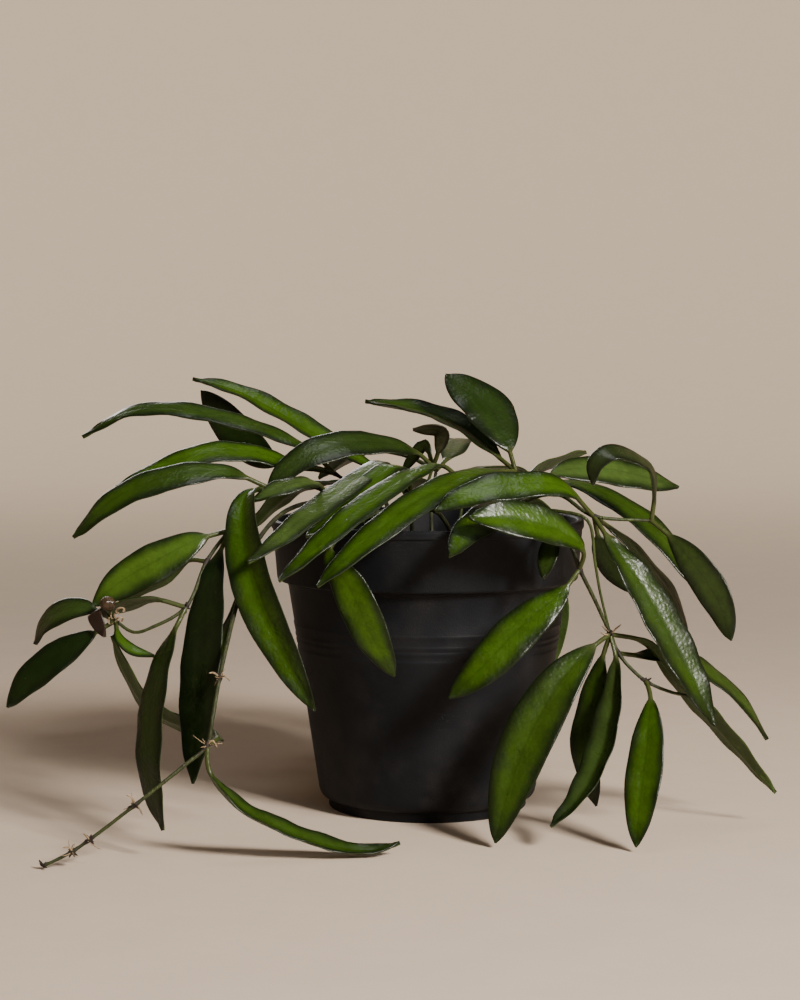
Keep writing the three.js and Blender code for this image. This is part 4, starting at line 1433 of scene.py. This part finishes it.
@dataclass
class LeafFinish(Finish):
    """Waxy, leathery green blades with dark margins, paler and duller underneath.

    Painted light and shade are in it too: the wide darkening towards the margins is partly painted shade,
    the pale thin rim is a painted highlight, a tone's grey is a painted sheen and a tone's light share
    partly paints light and shade.
    """

    name: str = "hoya_leaf"
    dark: Colour = (0.0020, 0.0064, 0.0008, 1)
    fresh: Colour = (0.035, 0.082, 0.0012, 1)
    # grey: a painted sheen, mixed in by the grey share of a leaf's tone
    grey: Colour = (0.055, 0.068, 0.03, 1)
    bronze: Colour = (0.022, 0.012, 0.009, 1)
    # The dark of the margins and tips; over the outer half of the blade it is also painted shade
    dark_margin_and_shade: Colour = (0.0035, 0.006, 0.0018, 1)
    # edge: the pale midrib underneath, and the painted highlight on the thin rim
    edge: Colour = (0.065, 0.09, 0.022, 1)
    under: Colour = (0.034, 0.058, 0.012, 1)
    stalk: Colour = (0.045, 0.055, 0.014, 1)

    def build(self) -> bpy.types.Material:
        """Build the leaves' material."""
        material, graph, shader = self.start()
        place = graph.place()
        light, bronze, grey = graph.attribute("leaf_tint")
        under, stalk, rim = graph.attribute("leaf_zone")
        uv = graph.put("ShaderNodeSeparateXYZ", {0: graph.put("ShaderNodeUVMap").outputs[0]})
        across = graph.maths("ABSOLUTE", graph.maths("MULTIPLY_ADD", uv.outputs[0], 2.0, -1.0))
        along = uv.outputs[1]
        drift = graph.noise(place, 160.0, 3.0)

        # The tone's light share, partly painted light and shade, then its grey share, a painted sheen
        base = graph.mix(light, self.dark, self.fresh)
        base = graph.mix(grey, base, self.grey)
        patches = graph.group(self.effects.blotches, {
            "Colour": base, "Place": place, "Scale": 90.0, "Amount": 0.34})
        base = patches.outputs["Colour"]
        veins = self._veins(graph, across, along, place)
        base = graph.mix(graph.maths("MULTIPLY", veins, 0.05), base, self.dark)
        # Darker towards the margins: the thin dark margin is the leaf's own, the wide darkening over the
        # outer half is painted shade
        shade = graph.maths("MULTIPLY_ADD", drift, 0.34, across)
        base = graph.mix(graph.step(shade, 0.5, 1.14, 0.0, 0.92), base, self.dark_margin_and_shade)
        tip = graph.maths("MULTIPLY_ADD", drift, 0.16, along)
        base = graph.mix(graph.step(tip, 0.86, 1.08, 0.0, 0.75), base, self.dark_margin_and_shade)
        base = graph.mix(graph.step(along, 0.16, 0.0, 0.0, 0.35), base, self.dark)
        base = graph.mix(graph.step(across, 0.08, 0.0, 0.0, 0.2), base, self.dark)
        base = graph.mix(bronze, base, self.bronze)
        specks = self._specks(graph, place)
        base = graph.mix(graph.maths("MULTIPLY", specks, 0.5), base, self.under)

        back = graph.mix(graph.maths("MULTIPLY", bronze, 0.7), self.under, self.bronze)
        back = graph.group(self.effects.blotches, {
            "Colour": back, "Place": place, "Scale": 140.0, "Amount": 0.35}).outputs["Colour"]
        back = graph.mix(graph.step(across, 0.06, 0.0, 0.0, 0.35), back, self.edge)
        colour = graph.mix(under, base, back)
        # Painted highlight: the thin rim is made lighter where light would catch the rounded margin
        lit_rim = graph.maths("MULTIPLY", rim, graph.step(drift, 0.42, 0.64, 0.04, 0.38))
        colour = graph.mix(lit_rim, colour, self.edge)
        colour = graph.mix(graph.maths("MULTIPLY", stalk, 0.85), colour, self.stalk)

        rough = graph.maths("MULTIPLY_ADD", drift, 0.12, 0.235)
        rough = graph.maths("MULTIPLY_ADD", under, 0.16, rough)
        rough = graph.maths("MULTIPLY_ADD", rim, 0.35, rough)
        dusty = graph.group(self.effects.dust, {
            "Colour": colour, "Roughness": rough, "Place": place, "Amount": 0.015})
        skin = graph.group(self.effects.skin, {
            "Place": place, "Scale": 620.0, "Dents": 1.0, "Pebbles": 0.5}).outputs["Height"]
        where = graph.step(graph.noise(place, 48.0, 1.0), 0.54, 0.68)
        puckers = graph.maths("MULTIPLY", graph.noise(place, 380.0, 2.0), where)
        height = graph.maths("MULTIPLY_ADD", veins, -0.07, graph.maths("MULTIPLY_ADD", puckers, 2.0, skin))
        self.bump(graph, shader, height, 0.3, 0.0007)
        shine = graph.maths("MULTIPLY_ADD", rim, -0.15, 0.21)
        graph.feed(shader, {
            "Base Color": dusty.outputs["Colour"], "Roughness": dusty.outputs["Roughness"],
            "Coat Weight": 0.04, "Coat Roughness": 0.2, "Specular IOR Level": shine})
        return material

    def _veins(self, graph: Graph, across: Socket, along: Socket, place: Socket) -> Socket:
        """Faint side veins that leave the midrib at a slant, from 0 to 1."""
        bent = graph.maths("MULTIPLY_ADD", graph.noise(place, 110.0, 2.0), 0.06, along)
        slant = graph.maths("MULTIPLY_ADD", across, -0.16, bent)
        wave = graph.maths("SINE", graph.maths("MULTIPLY", slant, 74.0))
        return graph.maths("MULTIPLY", graph.step(wave, 0.55, 1.0), graph.step(across, 0.96, 0.6))

    def _specks(self, graph: Graph, place: Socket) -> Socket:
        """Small pale specks scattered over the blade, from 0 to 1."""
        cells = graph.put("ShaderNodeTexVoronoi", {"Vector": place, "Scale": 330.0})
        dots = graph.step(cells.outputs["Distance"], 0.12, 0.05)
        chosen = graph.put("ShaderNodeSeparateColor", {0: cells.outputs["Color"]}).outputs[0]
        return graph.maths("MULTIPLY", dots, graph.step(chosen, 0.72, 0.78))


@dataclass
class StemFinish(Finish):
    """Stems that go from bark brown to green, tan roots and a purple bud."""

    name: str = "hoya_stem"
    green: Colour = (0.036, 0.054, 0.01, 1)
    brown: Colour = (0.014, 0.009, 0.006, 1)
    tan: Colour = (0.24, 0.17, 0.1, 1)
    purple: Colour = (0.04, 0.024, 0.013, 1)

    def build(self) -> bpy.types.Material:
        """Build the stems' material."""
        material, graph, shader = self.start()
        place = graph.place()
        brown, dry, purple = graph.attribute("stem_tint")
        drift = graph.noise(place, 240.0, 3.0)
        share = graph.maths("ADD", brown, graph.maths("MULTIPLY_ADD", drift, 0.9, -0.45), clamp=True)
        colour = graph.mix(share, self.green, self.brown)
        colour = graph.mix(dry, colour, self.tan)
        colour = graph.mix(purple, colour, self.purple)
        streaks = graph.stretched(place, 0.25)
        colour = graph.group(self.effects.blotches, {
            "Colour": colour, "Place": streaks, "Scale": 420.0, "Amount": 0.7}).outputs["Colour"]
        skin = graph.group(self.effects.skin, {
            "Place": streaks, "Scale": 1600.0, "Dents": 1.0, "Pebbles": 0.8}).outputs["Height"]
        self.bump(graph, shader, skin, 0.6, 0.0005)
        rough = graph.maths("MULTIPLY_ADD", share, 0.22, 0.42)
        rough = graph.maths("MULTIPLY_ADD", purple, -0.4, rough)
        graph.feed(shader, {"Base Color": colour, "Roughness": rough, "Specular IOR Level": 0.3})
        return material


@dataclass
class PlasticFinish(Finish):
    """Thin black moulded plastic with fine scuffs and a little dust."""

    name: str = "pot_plastic"
    black: Colour = (0.0062, 0.0070, 0.0088, 1)
    scuffed: Colour = (0.05, 0.048, 0.046, 1)
    soil: Colour = (0.10, 0.08, 0.06, 1)

    def build(self) -> bpy.types.Material:
        """Build the pot's material."""
        material, graph, shader = self.start()
        place = graph.place()
        base = graph.group(self.effects.blotches, {
            "Colour": self.black, "Place": place, "Scale": 26.0, "Amount": 0.35}).outputs["Colour"]
        scratch = graph.put("ShaderNodeTexVoronoi", {"Vector": graph.stretched(place, 7.0), "Scale": 85.0},
                            feature="DISTANCE_TO_EDGE").outputs["Distance"]
        where = graph.step(graph.noise(place, 38.0, 2.0), 0.6, 0.74)
        scuffs = graph.maths("MULTIPLY", graph.step(scratch, 0.02, 0.0), where)
        marks = graph.step(graph.noise(place, 700.0, 2.0), 0.7, 0.8)
        scuffs = graph.maths("MAXIMUM", scuffs, graph.maths("MULTIPLY", marks, where))
        base = graph.mix(graph.maths("MULTIPLY", scuffs, 0.45), base, self.scuffed)
        height = graph.put("ShaderNodeSeparateXYZ", {0: place}).outputs[2]
        low = graph.maths("MULTIPLY_ADD", graph.step(height, 0.03, 0.0), 0.22, 0.1)
        rough = graph.maths("MULTIPLY_ADD", graph.noise(place, 60.0, 3.0), 0.14, 0.5)
        rough = graph.maths("MULTIPLY_ADD", scuffs, 0.2, rough)
        dusty = graph.group(self.effects.dust, {
            "Colour": base, "Roughness": rough, "Place": place, "Amount": low, "Dust": self.soil})
        skin = graph.group(self.effects.skin, {
            "Place": place, "Scale": 1500.0, "Dents": 0.6, "Pebbles": 0.35}).outputs["Height"]
        flow = graph.noise(graph.stretched(place, 0.2), 60.0, 2.0)
        self.bump(graph, shader, graph.maths("MULTIPLY_ADD", flow, 1.2, skin), 0.25, 0.0005)
        graph.feed(shader, {
            "Base Color": dusty.outputs["Colour"], "Roughness": dusty.outputs["Roughness"],
            "Specular IOR Level": 0.13})
        return material


@dataclass
class SoilFinish(Finish):
    """Dark bark and coir mix with brown chips, tan fibres and pale grains."""

    name: str = "potting_mix"
    dark: Colour = (0.018, 0.012, 0.008, 1)
    chip: Colour = (0.10, 0.055, 0.03, 1)
    fibre: Colour = (0.17, 0.10, 0.05, 1)
    grain: Colour = (0.62, 0.60, 0.55, 1)

    def build(self) -> bpy.types.Material:
        """Build the soil's material."""
        material, graph, shader = self.start()
        place = graph.place()
        shade, grain, fibre = graph.attribute("crumb_tint")
        base = graph.mix(shade, self.dark, self.chip)
        base = graph.mix(fibre, base, self.fibre)
        base = graph.group(self.effects.blotches, {
            "Colour": base, "Place": place, "Scale": 260.0, "Amount": 1.0}).outputs["Colour"]
        base = graph.mix(grain, base, self.grain)
        crumbs = graph.group(self.effects.skin, {
            "Place": place, "Scale": 900.0, "Dents": 1.0, "Pebbles": 1.0}).outputs["Height"]
        self.bump(graph, shader, crumbs, 0.9, 0.0012)
        rough = graph.maths("MULTIPLY_ADD", graph.noise(place, 300.0, 2.0), 0.2, 0.75)
        graph.feed(shader, {"Base Color": base, "Roughness": rough})
        return material


@dataclass
class PaperFinish(Finish):
    """The warm paper that the plant stands on, with painted shade and light: a slightly darker ring a little
    way out is painted shade, and the lighter far paper, which also glows for the camera, is painted light.
    """

    name: str = "backdrop_paper"
    near: Colour = (0.60, 0.485, 0.385, 1)
    # band: a slightly darker ring, painted shade where the light falls off
    band: Colour = (0.57, 0.475, 0.385, 1)
    # wall: lighter far paper, painted light
    wall: Colour = (0.655, 0.53, 0.392, 1)

    def build(self) -> bpy.types.Material:
        """Build the floor's material."""
        material, graph, shader = self.start()
        place = graph.place()
        far = graph.put("ShaderNodeVectorMath", {0: place}, operation="LENGTH").outputs["Value"]
        # Painted shade in a darker ring about 0.2 to 0.6 m out, then painted light on the far paper
        base = graph.mix(graph.step(far, 0.2, 0.62), self.near, self.band)
        base = graph.mix(graph.step(far, 0.8, 1.9), base, self.wall)
        base = graph.group(self.effects.blotches, {
            "Colour": base, "Place": place, "Scale": 30.0, "Amount": 0.03}).outputs["Colour"]
        self.bump(graph, shader, graph.noise(place, 1500.0, 1.0), 0.12, 0.0004)
        # Painted light: the far paper glows, for camera rays only, to look as bright as a lit backdrop
        to_camera = graph.put("ShaderNodeLightPath").outputs["Is Camera Ray"]
        share = graph.maths("MULTIPLY", graph.step(far, 0.3, 2.2), to_camera)
        glow = graph.mix(share, (0, 0, 0, 1), self.wall)
        graph.feed(shader, {
            "Base Color": base, "Emission Color": glow, "Emission Strength": 0.72,
            "Roughness": 0.85, "Specular IOR Level": 0.16})
        return material


@dataclass(frozen=True)
class Softbox:
    """A square area light that hangs at a spot, in metres, and points at a height on the pot's axis."""

    name: str
    spot: Point
    aim: float
    side: float
    watts: float
    colour: Point
    glossy: bool = True
    plant_only: bool = False

    def hang(self) -> bpy.types.Object:
        """Hang the light where the camera doesn't see it.

        Returns:
            The lamp.
        """
        data = bpy.data.lights.new(self.name, "AREA")
        data.size = self.side
        data.energy = self.watts
        data.color = self.colour
        lamp = bpy.data.objects.new(self.name, data)
        lamp.location = self.spot
        way = Vector((0.0, 0.0, self.aim)) - Vector(self.spot)
        lamp.rotation_euler = way.to_track_quat("-Z", "Y").to_euler()
        lamp.visible_camera = False
        lamp.visible_glossy = self.glossy
        bpy.context.scene.collection.objects.link(lamp)
        return lamp


# The key light at the front right, dim fills on three sides and a weak light above
SOFTBOXES = (
    Softbox("key_light", (0.94, -1.22, 0.98), aim=0.06, side=0.36, watts=65.0, colour=(1.0, 0.945, 0.87)),
    Softbox("right_fill", (0.75, -2.3, 0.95), aim=0.06, side=1.1, watts=4.0, colour=(0.93, 1.0, 1.08)),
    Softbox("back_fill", (-0.6, 2.2, 0.9), aim=0.08, side=0.9, watts=20.0, colour=(1.0, 0.99, 0.97),
            plant_only=True),
    Softbox("left_fill", (-0.9, -2.0, 1.1), aim=0.1, side=1.2, watts=2.5, colour=(0.95, 1.0, 1.04),
            glossy=False),
    Softbox("top_light", (-0.03, 0.03, 1.3), aim=0.12, side=0.34, watts=1.6, colour=(1.0, 0.99, 0.97)),
)


@dataclass
class Studio:
    """The pale floor that curves up all round, the soft lights and the camera."""

    floor_radius: float = 2.1
    curve_radius: float = 0.9
    wall_height: float = 2.6
    rings: int = 12
    turns: int = 96
    air_colour: Colour = (0.95, 1.0, 1.05, 1.0)
    air_strength: float = 0.03

    def build(self, paper: bpy.types.Material) -> None:
        """Build the stage, the lights and the camera.

        Args:
            paper: The floor's finish.
        """
        self._floor(paper)
        self._lights()
        self._camera()

    def _floor(self, paper: bpy.types.Material) -> None:
        """Spin a floor that curves up into a wall."""
        line = [(self.floor_radius * i / self.rings, 0.0) for i in range(self.rings + 1)]
        for step in range(1, self.rings + 1):
            angle = math.pi / 2 * step / self.rings
            line.append((self.floor_radius + self.curve_radius * math.sin(angle),
                         self.curve_radius * (1 - math.cos(angle))))
        line.append((self.floor_radius + self.curve_radius, self.wall_height))
        floor = add_object("studio_floor", turned(line, self.turns, 1.0))
        dress(floor, paper)

    def _lights(self) -> None:
        """Hang the lights and let the air glow dimly."""
        for softbox in SOFTBOXES:
            lamp = softbox.hang()
            if softbox.plant_only:
                lamp.light_linking.receiver_collection = self._plant()
        world = bpy.data.worlds.new("studio_air")
        world.use_nodes = True
        sky = world.node_tree.nodes["Background"]
        sky.inputs[0].default_value = self.air_colour
        sky.inputs[1].default_value = self.air_strength
        bpy.context.scene.world = world

    @staticmethod
    def _plant() -> bpy.types.Collection:
        """Gather every piece of the plant, for the light that leaves the floor alone."""
        plant = bpy.data.collections.new("plant_pieces")
        for piece in bpy.context.scene.objects:
            if piece.type == "MESH" and piece.name != "studio_floor":
                plant.objects.link(piece)
        return plant

    def _camera(self) -> None:
        """Set the camera where the photograph was taken from."""
        data = bpy.data.cameras.new("photo_camera")
        data.sensor_fit = "HORIZONTAL"
        data.sensor_width = CAMERA.sensor_width
        data.lens = CAMERA.focal_pixels / CAMERA.image_width * data.sensor_width
        data.clip_start = CAMERA.nearest * MM
        data.clip_end = CAMERA.furthest * MM
        camera = bpy.data.objects.new("photo_camera", data)
        camera.location = CAMERA.eye
        camera.rotation_euler = (math.radians(90 - CAMERA.pitch), 0.0, 0.0)
        bpy.context.scene.collection.objects.link(camera)
        bpy.context.scene.camera = camera


def main() -> None:
    """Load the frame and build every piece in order."""
    logging.basicConfig(level=logging.INFO, format="%(name)s %(message)s")
    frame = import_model()
    LOG.info("frame of %d nodes", len(frame["nodes"]))
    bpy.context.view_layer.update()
    effects = Effects()
    PotMaker().build(PlasticFinish(effects).build())
    SoilMaker().build(SoilFinish(effects).build())
    vines = VineMaker(LeafFinish(effects).build(), StemFinish(effects).build())
    for number, vine in enumerate(VINES):
        vines.build(vine, FIRST_SEED + number)
    Studio().build(PaperFinish(effects).build())


if __name__ == "__main__":
    main()
